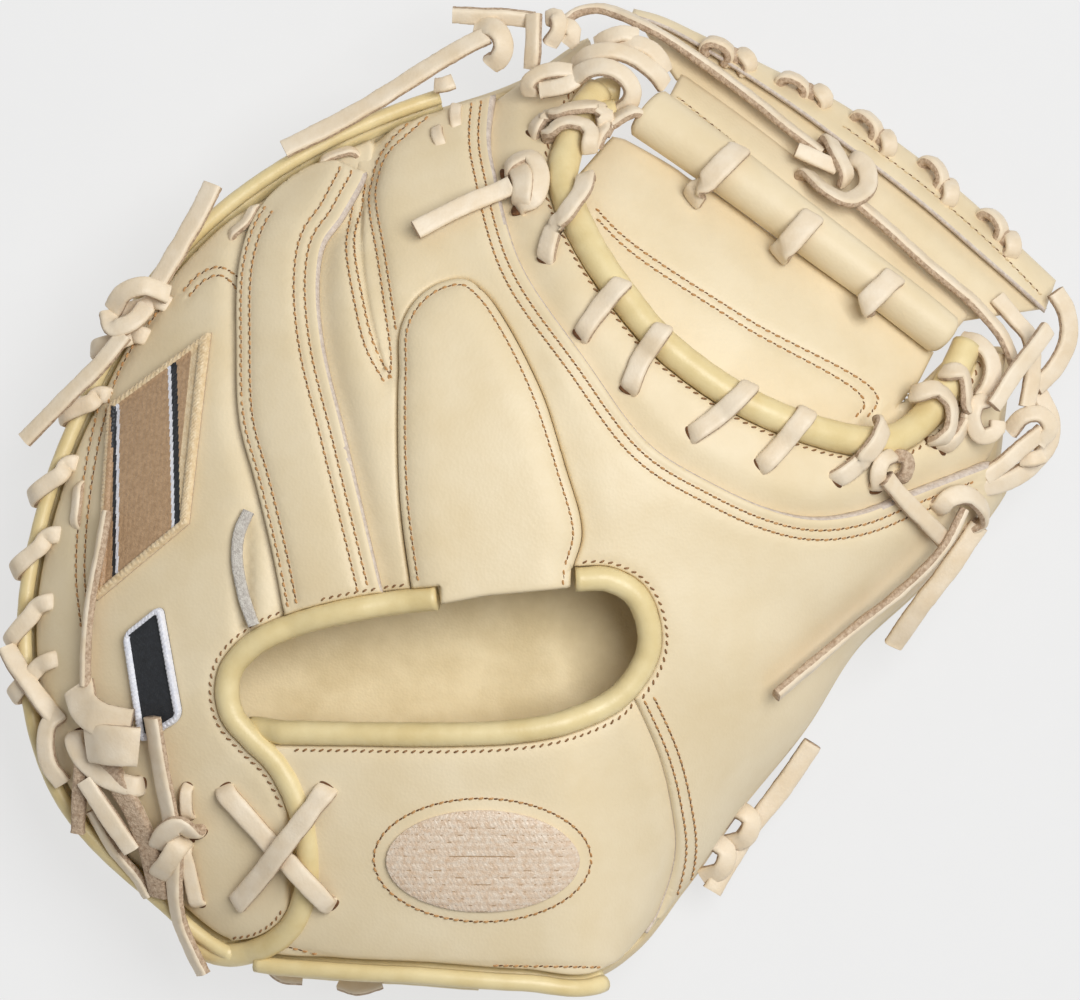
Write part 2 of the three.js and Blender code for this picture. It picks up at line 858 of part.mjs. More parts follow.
function edgeLoop({ outer, inner }) {
  const points = LOOP_SECTION.map(({ along: t, past, drop }) =>
    onEdge(outer + (inner - outer) * t, past, drop),
  );
  const angle = THREE.MathUtils.degToRad(inner);
  const { reach, inset } = sectionAt(inner);
  for (const back of [5, 8]) {
    const distance = reach - inset - back;
    points.push(onBack(distance * Math.cos(angle), distance * Math.sin(angle), REST + 1));
  }
  const outward = new THREE.Vector3(Math.cos(angle), Math.sin(angle), 0);
  const ups = points.map((p, i) =>
    outward
      .clone()
      .multiplyScalar(1 - i / 5)
      .setZ(0.15 + i / 3)
      .normalize(),
  );
  ups[0].set(0, 0, -1);
  return band(points, ups, LOOP_WIDTH, LACE_THICK);
}

// The stretch of the lace that runs from loop to loop under the edge binding
function edgeRun(from, to, past, drop, width) {
  const points = [];
  for (let a = from; a <= to; a += 7) points.push(onEdge(a, past, drop));
  const ups = points.map((p) => new THREE.Vector3(p.x, p.y, 0).normalize());
  return band(points, ups, width, LACE_THICK);
}
const join = (...bodies) => bodies.reduce((whole, body) => whole.add(body));

const parts = [];
function add(name, body, look) {
  parts.push({ name, body: body.getMesh ? body : solid(body), look });
}
function lace(name, ...bodies) {
  add(name, join(...bodies), LACE_LOOK);
}

add("palm_pad", palmPad, PALM_LOOK);
add("pinky_back", pinkyBack, LEATHER_LOOK);
add("middle_back", middleBack, LEATHER_LOOK);
add("main_back", mainBack, LEATHER_LOOK);
add("finger_hood", fingerHood, LEATHER_LOOK);
add("web_facing", webFacing, LEATHER_LOOK);
add("wrist_strap", wristStrap, LEATHER_LOOK);
add("tab_binding", bindingTube(tabBinding, -1, ROLL_RADIUS), PIPING_LOOK);
add("strap_binding", bindingTube(strapBinding, -1, ROLL_RADIUS), PIPING_LOOK);
add("collar_binding", bindingTube(collarLine, COLLAR_LIFT, COLLAR_RADIUS), PIPING_LOOK);
add("edge_binding", edgeTube(104, 234, 2.8, 1.8, EDGE_RADIUS), PIPING_LOOK);
add("strap_hem", edgeTube(242, 278, 3.1, 1.5, HEM_RADIUS), PIPING_LOOK);
add("heel_binding", edgeTube(243, 263, 5.2, 38, HEM_RADIUS), PIPING_LOOK);

add("web_panel", strip(panelInner, panelOuter, [WEB_LIFT, WEB_LIFT], WEB_THICK), LEATHER_LOOK);
add(
  "web_bar",
  tube(
    barAxis.map((p) => onBack(p.x, p.y, BAR.lift)),
    BAR.high,
    { sides: 12, steps: 11, across: BAR.wide },
  ),
  LEATHER_LOOK,
);
add("bar_strip", strip(stripInner, stripOuter, [-4, -4], LEATHER), LEATHER_LOOK);
add(
  "web_band",
  strip(beside(stripOuter, 0.7), beside(rimInner, -0.7), [-5, -3.5], LEATHER),
  LEATHER_LOOK,
);
add("rim_band", strip(rimInner, rimOuter, [-1, -1], LEATHER + 1), LEATHER_LOOK);

COLLAR_LACES.forEach(({ x, y, webX, webY }, i) =>
  lace(
    `collar_lace_${i + 1}`,
    crossing(spot(x, y), spot(webX, webY), collarLine, COLLAR, [REST, REST + WEB_LIFT]),
  ),
);
BAR_LACES.forEach(({ x, y, farX, farY }, i) =>
  lace(
    `bar_lace_${i + 1}`,
    crossing(spot(x, y), spot(farX, farY), barAxis, BAR, [REST + WEB_LIFT, REST - 3.4]),
  ),
);
lace(
  "edge_lacing",
  edgeRun(150, 206, 0.8, 9, LOOP_WIDTH),
  ...EDGE_LOOPS.map((row) => edgeLoop(row)),
);

// Lacing along the outer edge of the web: loops over the rim, joined by the run outside it
const RIM_LOOPS = table(
  ["x", "y", "farX", "farY"],
  [
    [45.5, 125, 60, 118],
    [65.5, 116, 80, 107.5],
    [85.5, 105.5, 98.5, 94],
    [104, 92, 115.5, 80.5],
    [121, 78.5, 133, 66.5],
  ],
);
const RIM_RUN = 4; // the run's distance outside the rim
const rimRun = beside(rimOuter, RIM_RUN).slice(1, -1);
lace(
  "rim_lacing",
  thong(
    rimRun.map((p) => [p.x, p.y, -2.2]),
    2.6,
    3.4,
    8,
    onBack,
  ),
  ...RIM_LOOPS.map(({ x, y, farX, farY }) => {
    const [a, b] = [spot(x, y), spot(farX, farY)];
    const inward = beside([a, b], -2.6);
    const middle = a.clone().lerp(b, 0.5);
    const outward = beside([middle, b], RIM_RUN)[0];
    const rows = [inward[0], outward, inward[1]];
    return thong(
      rows.map((p, i) => [p.x, p.y, i === 1 ? 0 : 1.4]),
      LOOP_WIDTH,
      LACE_THICK,
      5,
      onBack,
    );
  }),
);

// Stretches of lace that lie on the back, through points of x, y and the lift of its middle.
// Stretches of one lace that are knotted into each other share its name.
const LAID = table(
  ["lace", "width", "x", "y", "lift"],
  [
    [
      "web_lace",
      5.8,
      [3, 13, 25, 36, 48.5, 77, 89, 108, 121],
      [125, 131, 130, 122.5, 114.5, 93.5, 78, 58, 45],
      [4, 4, 4, 1.6, -1.2, -1.2, -1.2, -1, 0],
    ],
    ["web_lace", 6, [77, 82, 88.5], [97, 90, 80], [1.4, 0.9, 0.4]],
    ["facing_knot", 6.4, [-10, -5.5, -0.5], [93, 85.5, 79], [2.2, 3.4, 2.2]],
    ["facing_knot", 5.1, [-5, -15, -33.5], [85, 80, 71.5], [2.4, 2.8, 4.5]],
    ["thumb_knot_1", 6.4, [90, 95, 100], [11.5, 6, 0], [2.6, 4, 2.6]],
    ["thumb_knot_1", 4.9, [94, 101, 107], [5, -2, -7], [3, 3.2, 2.4]],
    ["thumb_knot_2", 6.4, [107, 113, 119], [3, -1.5, -6], [3, 4.4, 3]],
    ["thumb_knot_2", 5.6, [114, 101, 82, 63.5], [-3, -18.5, -36, -52.5], [4, 6.5, 4.4, 5]],
    ["side_lace", 3.2, [-117.5, -120.5, -122, -122.5], [-3, -20, -34, -49], [3.8, 3.8, 3, 2.6]],
    ["heel_knot", 9, [-127, -118, -109], [-59, -62, -66], [2.8, 4.6, 3.9]],
    ["heel_knot", 5.8, [-116, -112.5, -106.5], [-64, -84, -100], [3.4, 3, 3.4]],
    ["heel_lace", 5.9, [-105, -101, -97], [-60, -73, -88], [4.2, 3, 3.2]],
    ["heel_lace", 6.5, [-104, -98, -92], [-87, -90, -93], [2.8, 4.4, 2.8]],
    ["heel_lace", 5.7, [-99, -99.5, -97.5, -89], [-90, -101, -112, -124], [3.2, 3.4, 5, 5]],
    ["heel_tails", 3.6, [-125, -126, -125.5], [-71, -80, -88], [3, 3.4, 4]],
    ["heel_tails", 4.6, [-125, -121.5, -117], [-73, -83, -92], [3.4, 3.6, 4]],
  ],
);
// Stretches of lace that stand off the back or lie beside it, through points of x, y and height
const LOOSE = table(
  ["lace", "width", "x", "y", "height"],
  [
    ["tip_knot", 4.6, [-24, -10, 2], [132.5, 131.5, 129.5], [42, 42, 41.5]],
    ["tip_knot", 5.2, [-4, -1, 1], [133, 124, 116.5], [41, 41.5, 42]],
    ["tip_knot", 5.7, [-1, -13, -40, -69], [120, 123.5, 111.5, 95.5], [42.5, 43, 43, 44]],
    ["tip_knot", 6, [-17.5, -14, -7.5], [128.5, 122, 117], [43.5, 44.5, 44]],
    ["tip_knot", 6, [-3, 4, 11], [133, 129, 124], [41, 41, 40]],
    ["web_top_loop", 5.8, [9.5, 15, 24, 31], [115, 120, 121, 116], [47, 47, 47.5, 49]],
    ["edge_tail_1", 4.3, [-112.5, -126, -140.5], [45, 31, 15.5], [50, 49.5, 45.5]],
    ["edge_tail_2", 5.2, [-89, -95, -101], [85, 74, 62], [45, 46.5, 47]],
    ["thumb_tail", 6, [116, 120, 123.5], [28.5, 22, 15.5], [55, 53, 50]],
    ["thumb_tail", 4.6, [119, 128, 139], [20, 33, 48], [53, 50, 44]],
    ["rim_loop_1", 6, [139, 145, 142.5, 135.5], [55, 46, 34, 29], [31, 29, 30, 34]],
    ["rim_loop_2", 6, [137.5, 141.5, 137, 130, 124.5], [24, 17, 8, 1, -1.5], [30, 29, 31, 36, 39]],
    ["short_tail", 5.4, [117, 107, 94], [-11, -25, -39], [42, 38, 28]],
    ["thumb_edge_lace", 5.4, [74.5, 66, 56, 47], [-66.5, -79, -92, -107], [20, 17, 16, 16]],
  ],
);
const routeOf = ({ x, y }, third) => x.map((value, i) => [value, y[i], third[i]]);
for (const name of new Set([...LAID, ...LOOSE].map((row) => row.lace)))
  lace(
    name,
    ...LAID.filter((row) => row.lace === name).map((row) =>
      thong(routeOf(row, row.lift), row.width),
    ),
    ...LOOSE.filter((row) => row.lace === name).map((row) =>
      tail(routeOf(row, row.height), row.width),
    ),
  );

// The crossed lace on the wrist tab, over its binding to the strap
const CROSS_RISE = LACE_THICK + CLEAR + 0.5;
lace(
  "cross_lace_under",
  crossing(spot(-85, -79.5), spot(-57, -108.5), tabBinding, TAB, [REST, REST], 0, 10),
);
lace(
  "cross_lace_over",
  crossing(spot(-82.5, -109.5), spot(-56.5, -76.5), tabBinding, TAB, [REST, REST], CROSS_RISE, 10),
);

// Patches sewn on the back
const PATCH_LIFT = PATCH_THICK + 0.3;
const edgeOf = (x0, y0, x1, y1) => spaced([spot(x0, y0), spot(x1, y1)], 4);
const sewn = (inner, outer) => strip(inner, outer, [PATCH_LIFT, PATCH_LIFT], PATCH_THICK, 4);
add("side_patch", sewn(edgeOf(-95.5, -6.5, -87.5, 45), edgeOf(-118, -28, -113.5, 24.5)), PATCH_LOOK);
add("tab_patch", sewn(edgeOf(-96, -59, -102, -28), edgeOf(-106.5, -65, -112, -34)), PATCH_LOOK);
const OVAL = { x: -15.5, y: -96.5, wide: 25.5, high: 13.6 };
add(
  "strap_patch",
  plate(
    [0.5, 1],
    20,
    (share, angle) => onOval(share, angle, PATCH_LIFT + 0.5),
    (share, angle) => onOval(share, angle, 0.5),
  ),
  PATCH_LOOK,
);

function onOval(share, angle, lift) {
  const x = OVAL.x + OVAL.wide * share * Math.cos(angle);
  const y = OVAL.y + OVAL.high * share * Math.sin(angle);
  return onBack(x, y, lift);
}

const mitt = new THREE.Group();
mitt.position.set(-MIDDLE.x, -MIDDLE.y, 0);
for (const { name, body, look } of parts) {
  const mesh = body.getMesh();
  const geometry = new THREE.BufferGeometry()
    .setAttribute("position", new THREE.BufferAttribute(mesh.vertProperties, 3))
    .setIndex(new THREE.BufferAttribute(mesh.triVerts, 1));
  geometry.computeVertexNormals();
  const piece = new THREE.Mesh(geometry, new THREE.MeshStandardMaterial(look));
  piece.name = name;
  mitt.add(piece);
}
export default mitt;
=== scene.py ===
import math

import bpy
import numpy as np
from mathutils.geometry import delaunay_2d_cdt
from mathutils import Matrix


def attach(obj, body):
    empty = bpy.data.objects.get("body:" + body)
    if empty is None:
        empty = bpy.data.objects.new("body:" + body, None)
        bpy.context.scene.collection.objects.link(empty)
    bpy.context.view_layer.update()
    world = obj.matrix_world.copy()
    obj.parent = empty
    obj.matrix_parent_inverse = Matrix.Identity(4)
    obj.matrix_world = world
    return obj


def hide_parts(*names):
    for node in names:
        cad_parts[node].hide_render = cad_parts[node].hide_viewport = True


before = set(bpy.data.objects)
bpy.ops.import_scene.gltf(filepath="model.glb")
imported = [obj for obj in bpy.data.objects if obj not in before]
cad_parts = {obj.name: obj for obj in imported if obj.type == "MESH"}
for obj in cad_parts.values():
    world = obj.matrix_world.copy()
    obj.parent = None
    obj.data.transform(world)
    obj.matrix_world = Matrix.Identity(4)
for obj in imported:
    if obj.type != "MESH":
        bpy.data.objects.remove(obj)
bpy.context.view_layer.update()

# Sizes in millimetres. The plan is drawn about the middle of the hand, +Y to the finger tips.
MM = 0.001
MIDDLE = np.array([0.8, 1.2, 0.0])  # middle of the footprint, which is the frame's origin
CROWN = 92.0
LEATHER = 3.0
HAND_ROOM = 27.0
POCKET_CEILING = 47.0
PALM_WALL = 11.0
MOUTH_ROOM = 33.0
RING_AT = 0.74
ROLL_RADIUS = 3.3
COLLAR_RADIUS = 4.2
EDGE_RADIUS = 2.1
HEM_RADIUS = 2.4
LACE_WIDTH = 5.8
LACE_THICK = 2.8
HIDE = 2.2  # one leather of the shell where its cut edge shows
STITCH_PITCH = 2.7
THREAD = 0.58
seed = np.random.default_rng(34)


# Camera: straight above, far enough that the picture is almost a plan
PICTURE_WIDTH = 291.6  # what the photo's 1080 pixels span
CAMERA_HEIGHT = 3000.0
FOCUS_HEIGHT = 55.0
camera_data = bpy.data.cameras.new("camera")
camera_data.sensor_width = 36.0
camera_data.lens = 36.0 * (CAMERA_HEIGHT - FOCUS_HEIGHT) / PICTURE_WIDTH
camera_data.clip_end = 20.0
camera = bpy.data.objects.new("camera", camera_data)
camera.location = (-MIDDLE[0] * MM, -MIDDLE[1] * MM, CAMERA_HEIGHT * MM)
bpy.context.scene.collection.objects.link(camera)
bpy.context.scene.camera = camera
bpy.context.scene.view_settings.view_transform = "Standard"


# One row for each direction: angle, reach, seam height, roll, inset, ring height, mouth
SECTIONS = np.array([
    [0, 126, 26, 0.6, 0, 0, 0],
    [10, 139, 25, 0.75, 0, 14, 0],
    [22, 151, 25, 0.9, 0, 52, 0],
    [35, 142, 25, 0.9, 0, 60, 0],
    [50, 136, 25, 0.9, 0, 60, 0],
    [65, 133, 26, 0.9, 0, 52, 0],
    [79, 133, 28, 0.9, 0, 18, 0],
    [92, 119, 34, 0.85, 4, 0, 0],
    [105, 115, 39, 0.85, 5, 0, 0],
    [125, 116, 41, 0.85, 5, 0, 0],
    [145, 121, 42, 0.85, 5, 0, 0],
    [165, 127, 42, 0.85, 5, 0, 0],
    [180, 136, 42, 0.85, 5, 0, 0],
    [195, 147, 42, 0.8, 5, 0, 0],
    [211, 155, 42, 0.8, 5, 0, 0],
    [226, 152, 43, 0.8, 5, 0, 0],
    [236, 151, 46, 0.8, 5, 0, 1],
    [246, 141, 56, 0.85, 5, 0, 18],
    [256, 134, 62, 0.9, 5, 0, 33],
    [268, 132, 63, 0.9, 5, 0, 33],
    [276, 134, 58, 0.9, 5, 0, 18],
    [282, 128, 42, 0.8, 3, 0, 4],
    [290, 114, 27, 0.6, 0, 0, 0],
    [303, 101, 23, 0.5, 0, 0, 0],
    [320, 96, 22, 0.45, 0, 0, 0],
    [335, 96, 22, 0.45, 0, 0, 0],
    [347, 107, 24, 0.5, 0, 0, 0],
])
COLUMNS = ("angle", "reach", "seam", "roll", "inset", "ring", "mouth")
wrapped = np.vstack([SECTIONS[-1:], SECTIONS, SECTIONS[:2]])
wrapped[0, 0] -= 360
wrapped[-2:, 0] += 360
slopes = (wrapped[2:] - wrapped[:-2]) / (wrapped[2:, :1] - wrapped[:-2, :1])


def section_at(x, y):
    """Every column of the sections in the direction of each point, smooth all the way round."""
    angle = np.degrees(np.arctan2(y, x)) % 360
    row = np.searchsorted(SECTIONS[:, 0], angle, side="right") - 1
    a, b = wrapped[row + 1], wrapped[row + 2]
    span = (b[..., 0] - a[..., 0])[..., None]
    t = (angle[..., None] - a[..., :1]) / span
    value = (
        a * (2 * t**3 - 3 * t**2 + 1)
        + slopes[row] * span * (t**3 - 2 * t**2 + t)
        + b * (3 * t**2 - 2 * t**3)
        + slopes[row + 1] * span * (t**3 - t**2)
    )
    return {name: value[..., i] for i, name in enumerate(COLUMNS)}


def back_height(x, y):
    section = section_at(x, y)
    share = np.hypot(x, y) / (section["reach"] - section["inset"])
    dome = (1 - np.minimum(share, 1) ** 2) ** section["roll"]
    past = np.maximum(share - 1, 0) * section["reach"]
    return section["seam"] + (CROWN - section["seam"]) * dome - past * 0.8


def back_normal(x, y):
    section = section_at(x, y)
    share = np.hypot(x, y) / (section["reach"] - section["inset"])
    pull = np.where(share > 0.975, 0.975 / np.maximum(share, 0.01), 1)
    u, v, step = x * pull, y * pull, 0.5
    normal = np.stack([
        back_height(u - step, v) - back_height(u + step, v),
        back_height(u, v - step) - back_height(u, v + step),
        np.full_like(u, 2 * step),
    ], -1)
    return normal / np.linalg.norm(normal, axis=-1, keepdims=True)


def smooth(rows, step=1.2):
    """Points about one step apart along the smooth curve through rows of a table."""
    p = np.asarray(rows, float)
    p = np.vstack([2 * p[0] - p[1], p, 2 * p[-1] - p[-2]])
    root = np.sqrt(np.linalg.norm(np.diff(p, axis=0), axis=1))[:, None]
    a, b = p[1:-2], p[2:-1]
    d0, d1, d2 = root[:-2], root[1:-1], root[2:]
    out = ((a - p[:-3]) / d0 - (b - p[:-3]) / (d0 + d1) + (b - a) / d1) * d1
    into = ((b - a) / d1 - (p[3:] - a) / (d1 + d2) + (p[3:] - b) / d2) * d1
    t = np.linspace(0, 1, 24, endpoint=False)[:, None, None]
    fine = (
        a * (2 * t**3 - 3 * t**2 + 1)
        + out * (t**3 - 2 * t**2 + t)
        + b * (3 * t**2 - 2 * t**3)
        + into * (t**3 - t**2)
    )
    fine = np.vstack([fine.transpose(1, 0, 2).reshape(-1, p.shape[1]), p[-2:-1]])
    return spaced(fine, step)


def spaced(points, step=1.2, count=0):
    lengths = np.linalg.norm(np.diff(points, axis=0), axis=1)
    along = np.concatenate([[0], np.cumsum(lengths)])
    count = count or max(2, round(along[-1] / step))
    at = np.linspace(0, along[-1], count + 1)
    return np.stack([np.interp(at, along, points[:, k]) for k in range(points.shape[1])], -1)


def beside(line, distance):
    """A line of the plan moved to its left, or to its right where the distance is negative."""
    way = np.gradient(line[:, :2], axis=0)
    way /= np.linalg.norm(way, axis=1, keepdims=True)
    moved = line.copy()
    moved[:, 0] -= way[:, 1] * distance
    moved[:, 1] += way[:, 0] * distance
    return moved


def side_of(line, x, y):
    """Distance of points of the plan from a line, positive on its left."""
    x, y = np.atleast_1d(x), np.atleast_1d(y)
    result = np.empty(len(x))
    a, way = line[:-1, :2], np.diff(line[:, :2], axis=0)
    for start in range(0, len(x), 8000):
        part = slice(start, start + 8000)
        u = x[part, None] - a[:, 0]
        v = y[part, None] - a[:, 1]
        t = np.clip((u * way[:, 0] + v * way[:, 1]) / (way**2).sum(1), 0, 1)
        away = np.hypot(u - t * way[:, 0], v - t * way[:, 1])
        near = away.argmin(1)
        pick = np.arange(len(near))
        cross = way[near, 0] * v[pick, near] - way[near, 1] * u[pick, near]
        result[part] = away[pick, near] * np.where(cross > 0, 1, -1)
    return result


def inside(outline, x, y):
    """Distance of points of the plan from a closed outline, positive within it."""
    ring = np.vstack([outline[:, :2], outline[:1, :2]])
    away = np.abs(side_of(ring, x, y))
    within = np.zeros(len(away), bool)
    for (ax, ay), (bx, by) in zip(ring[:-1], ring[1:]):
        if ay == by:
            continue
        crosses = (ay > y) != (by > y)
        within ^= crosses & (x < (bx - ax) * (y - ay) / (by - ay) + ax)
    return np.where(within, away, -away)


# Lines of the plan, as rows of x and y
FINGER_SEAM = [
    [-66.5, -34], [-70, -15.5], [-75, 5], [-79.5, 21.5], [-80.5, 42], [-80, 64.5],
    [-76, 77], [-69, 85], [-61, 90], [-47.5, 92],
]
FOREFINGER_SEAM = [
    [-43, 118], [-47.5, 92], [-53.5, 77], [-58.5, 69.5], [-60, 59], [-58.5, 42],
    [-52.5, 17.5], [-47.5, -3], [-41, -30],
]
HOOD_LINE = [
    [-34, -30], [-38, 1], [-38.5, 34], [-38, 46.5], [-33.5, 54.5], [-27, 59], [-20, 60],
    [-14.5, 56], [-8, 46.5], [0.5, 29], [7, 9], [11.5, -9], [9, -19], [8.5, -25],
]
FACING_LINE = [
    [-10.5, 124], [-13.5, 99], [-12, 88.5], [-5, 63.5], [12.5, 37.5], [29.5, 15],
    [46.5, 4.5], [62, -2.5], [74, -5], [86.5, -3.5], [100.5, 2], [122, 10],
]
COLLAR_LINE = [
    [15.6, 111.4], [11, 105.2], [7.6, 96], [6, 86.5], [12.5, 70], [25, 51.5], [35, 40.5], [56, 26],
    [80.5, 17], [94, 16], [103, 21], [110, 30], [116, 42],
]
TAB_LINE = [
    [-28, -23], [-52.5, -26.5], [-70, -31.5], [-79.5, -36.5], [-86, -44], [-87.5, -52],
    [-85.5, -60], [-80, -66.5], [-73, -73.5], [-68, -84], [-66, -94], [-66.5, -105],
    [-70, -113.5], [-76.5, -118.5], [-86, -120.5],
]
STRAP_LINE = [
    [9.5, -18], [19, -18], [28, -23], [32.5, -33], [32, -43], [24, -55], [10.5, -62],
    [-7.5, -65.5], [-67, -66],
]
STRAP_SEAM = [[25, -52], [32.5, -69], [36, -82.5], [37.5, -96], [33.5, -112], [27, -124], [22, -140]]

finger_seam = smooth(FINGER_SEAM)
forefinger_seam = smooth(FOREFINGER_SEAM)
hood_line = smooth(HOOD_LINE)
facing_line = smooth(FACING_LINE)
collar_line = smooth(COLLAR_LINE)
tab_line = smooth(TAB_LINE)
strap_line = smooth(STRAP_LINE)
strap_seam = smooth(STRAP_SEAM)
FAR = 190.0


def outline(*pieces):
    corners = np.vstack([np.reshape(piece, (-1, 2)) for piece in pieces])
    apart = np.linalg.norm(corners - np.roll(corners, 1, axis=0), axis=1) > 0.01
    return corners[apart]


hand_opening = outline(
    tab_line[tab_line[:, 1] > -66], strap_line[::-1],
    [8.4, -18.4], [8.2, -23.4], [-14.5, -25.5], [-26.5, -27.8], [-26.5, -22.8],
)
hood_area = outline(hood_line, [8, -40], [-34, -40])
COLLAR_CUT = 4.2  # the facing ends this far beside the collar's centre
web_notch = outline(
    beside(collar_line, -COLLAR_CUT), [127, 40], [FAR, 40], [FAR, FAR], [18, FAR]
)
thumb_tip_cut = outline([127, 40], [124, 10], [132, -20], [FAR, -20], [FAR, 60], [127, 60])

# Soft valleys of the back: a line, how wide and how deep
VALLEYS = [
    (finger_seam, 5.0, 0.9),
    (forefinger_seam, 6.0, 1.3),
    (hood_line[:-8], 5.0, 1.2),
    (facing_line, 6.0, 0.8),
    (smooth([[-48.5, 88], [-45.5, 66], [-43, 50], [-41, 36]]), 4.5, 1.6),
]


def relief(x, y):
    x, y = np.atleast_1d(x), np.atleast_1d(y)
    depth = np.zeros(len(x))
    for line, wide, deep in VALLEYS:
        depth -= deep * np.exp(-((side_of(line, x, y) / wide) ** 2))
    return depth


def on_back(x, y, lift=0.0):
    """Points of the back over points of the plan, raised along its normal."""
    x, y = np.atleast_1d(x).astype(float), np.atleast_1d(y).astype(float)
    raised = np.asarray(lift) + relief(x, y)
    ground = np.stack([x, y, back_height(x, y)], -1)
    return ground + back_normal(x, y) * np.broadcast_to(raised, x.shape)[:, None]


def over_plan(x, y, lift=0.0):
    """Points at a lift over the back that stand straight above their places in the plan."""
    x, y = np.atleast_1d(x).astype(float), np.atleast_1d(y).astype(float)
    raised = np.broadcast_to(np.asarray(lift, float), x.shape)
    up = back_normal(x, y)
    return on_back(x - up[:, 0] * raised, y - up[:, 1] * raised, raised)


def to_linear(code):
    channels = [int(code[i : i + 2], 16) / 255 for i in (1, 3, 5)]
    return [c / 12.92 if c <= 0.04045 else ((c + 0.055) / 1.055) ** 2.4 for c in channels] + [1.0]


def node(material, kind, inputs=None, **settings):
    """A node with its settings; an input is a value or another node's output socket."""
    made = material.node_tree.nodes.new(kind)
    for name, value in settings.items():
        setattr(made, name, value)
    for name, value in (inputs or {}).items():
        if isinstance(value, bpy.types.NodeSocket):
            material.node_tree.links.new(value, made.inputs[name])
        else:
            made.inputs[name].default_value = value
    return made


# Places of the colour sockets of a mix node
MIX_PALE, MIX_DEEP, MIX_RESULT = 6, 7, 2


def finish(name, pale, deep, patch_mm, grain_mm, grain_depth, roughness, **shader):
    """A surface of two mixed tones with a grain: sizes of the tone patches and grain are real."""
    material = bpy.data.materials.new(name)
    material.use_nodes = True
    bsdf = material.node_tree.nodes["Principled BSDF"]
    place = node(material, "ShaderNodeTexCoord").outputs["Object"]
    clouds = node(material, "ShaderNodeTexNoise", {
        "Vector": place, "Scale": 1 / (patch_mm * MM), "Detail": 4.0, "Roughness": 0.6,
    })
    tone = node(material, "ShaderNodeMapRange", {
        "Value": clouds.outputs["Fac"], "From Min": 0.35, "From Max": 0.68,
    })
    mix = node(material, "ShaderNodeMix", {"Factor": tone.outputs["Result"]}, data_type="RGBA")
    mix.inputs[MIX_PALE].default_value = to_linear(pale)
    mix.inputs[MIX_DEEP].default_value = to_linear(deep)
    material.node_tree.links.new(mix.outputs[MIX_RESULT], bsdf.inputs["Base Color"])
    pores = node(material, "ShaderNodeTexVoronoi", {
        "Vector": place, "Scale": 1 / (grain_mm * MM),
    }, feature="F1")
    creases = node(material, "ShaderNodeTexNoise", {
        "Vector": place, "Scale": 1 / (5 * grain_mm * MM), "Detail": 5.0, "Roughness": 0.65,
    })
    height = node(material, "ShaderNodeMath", {
        0: pores.outputs["Distance"], 1: creases.outputs["Fac"],
    }, operation="ADD")
    bump = node(material, "ShaderNodeBump", {
        "Height": height.outputs[0], "Distance": grain_depth * MM, "Strength": 1.0,
    })
    material.node_tree.links.new(bump.outputs["Normal"], bsdf.inputs["Normal"])
    rough = node(material, "ShaderNodeMapRange", {
        "Value": creases.outputs["Fac"], "To Min": roughness - 0.06, "To Max": roughness + 0.08,
    })
    material.node_tree.links.new(rough.outputs["Result"], bsdf.inputs["Roughness"])
    for socket, value in shader.items():
        bsdf.inputs[socket.replace("_", " ")].default_value = value
    return material


# Full-grain cowhide, plated and waxed: a low, broad shine over a fine even grain
cowhide = finish("cream_cowhide", "#E9D9B8", "#E1CEA8", 30, 0.9, 0.04, 0.48, Specular_IOR_Level=0.4)
# The same hide where the palm and heel are handled, a little deeper and drier
palm_hide = finish("palm_cowhide", "#E4D1A9", "#D8C296", 22, 1.0, 0.06, 0.52)
# Glove lining: undyed pale side of the hide, matt and warm
lining = finish("tan_lining", "#EFDDB4", "#DFCB9F", 14, 0.7, 0.05, 0.7)
# Thin leather rolled over a cord, dyed straw yellow: tighter, so it shines more
binding = finish("straw_binding", "#E8D6A4", "#DCC68E", 12, 0.6, 0.03, 0.38, Specular_IOR_Level=0.5)
# Alum-tanned rawhide lace: its smooth face is paler and pinker than the shell
lace_face = finish("rawhide_face", "#ECDDC5", "#E2CEAF", 9, 0.7, 0.05, 0.5)
# The lace's cut sides, napped like suede: light fibres over brown
lace_nap = finish("rawhide_nap", "#D4BDA2", "#A68A70", 1.0, 0.4, 0.2, 0.9)
# Cut edge of the shell leather: pale grey fibre that catches the light
cut_edge = finish("cut_fibre", "#DCD0C4", "#C0B1A4", 1.2, 0.4, 0.12, 0.9)
# Twisted nylon sewing thread, waxed: a small hard glint on each stitch
thread = finish("brown_thread", "#CC9C64", "#B27F49", 1.0, 0.35, 0.08, 0.45)
# Undyed thread of the web's bands, so pale that only its shadow shows
pale_thread = finish("cream_thread", "#E6D3AC", "#CFB588", 1.0, 0.35, 0.08, 0.5)
# Dark waxed thread that pulls the leather against the rolled bindings
dark_thread = finish("umber_thread", "#A0754A", "#74502E", 1.0, 0.35, 0.08, 0.5)
# Pale felt between two leathers: soft and without shine
felt_look = finish("pale_felt", "#D8D3C9", "#B5ADA4", 0.9, 0.4, 0.2, 0.95)
# Painted shade: dark plugs that stand for the shadow inside a needle hole or lace slot
hole_shade = finish("needle_hole_shade", "#7A5230", "#5C3C22", 1.0, 0.4, 0.02, 0.9)
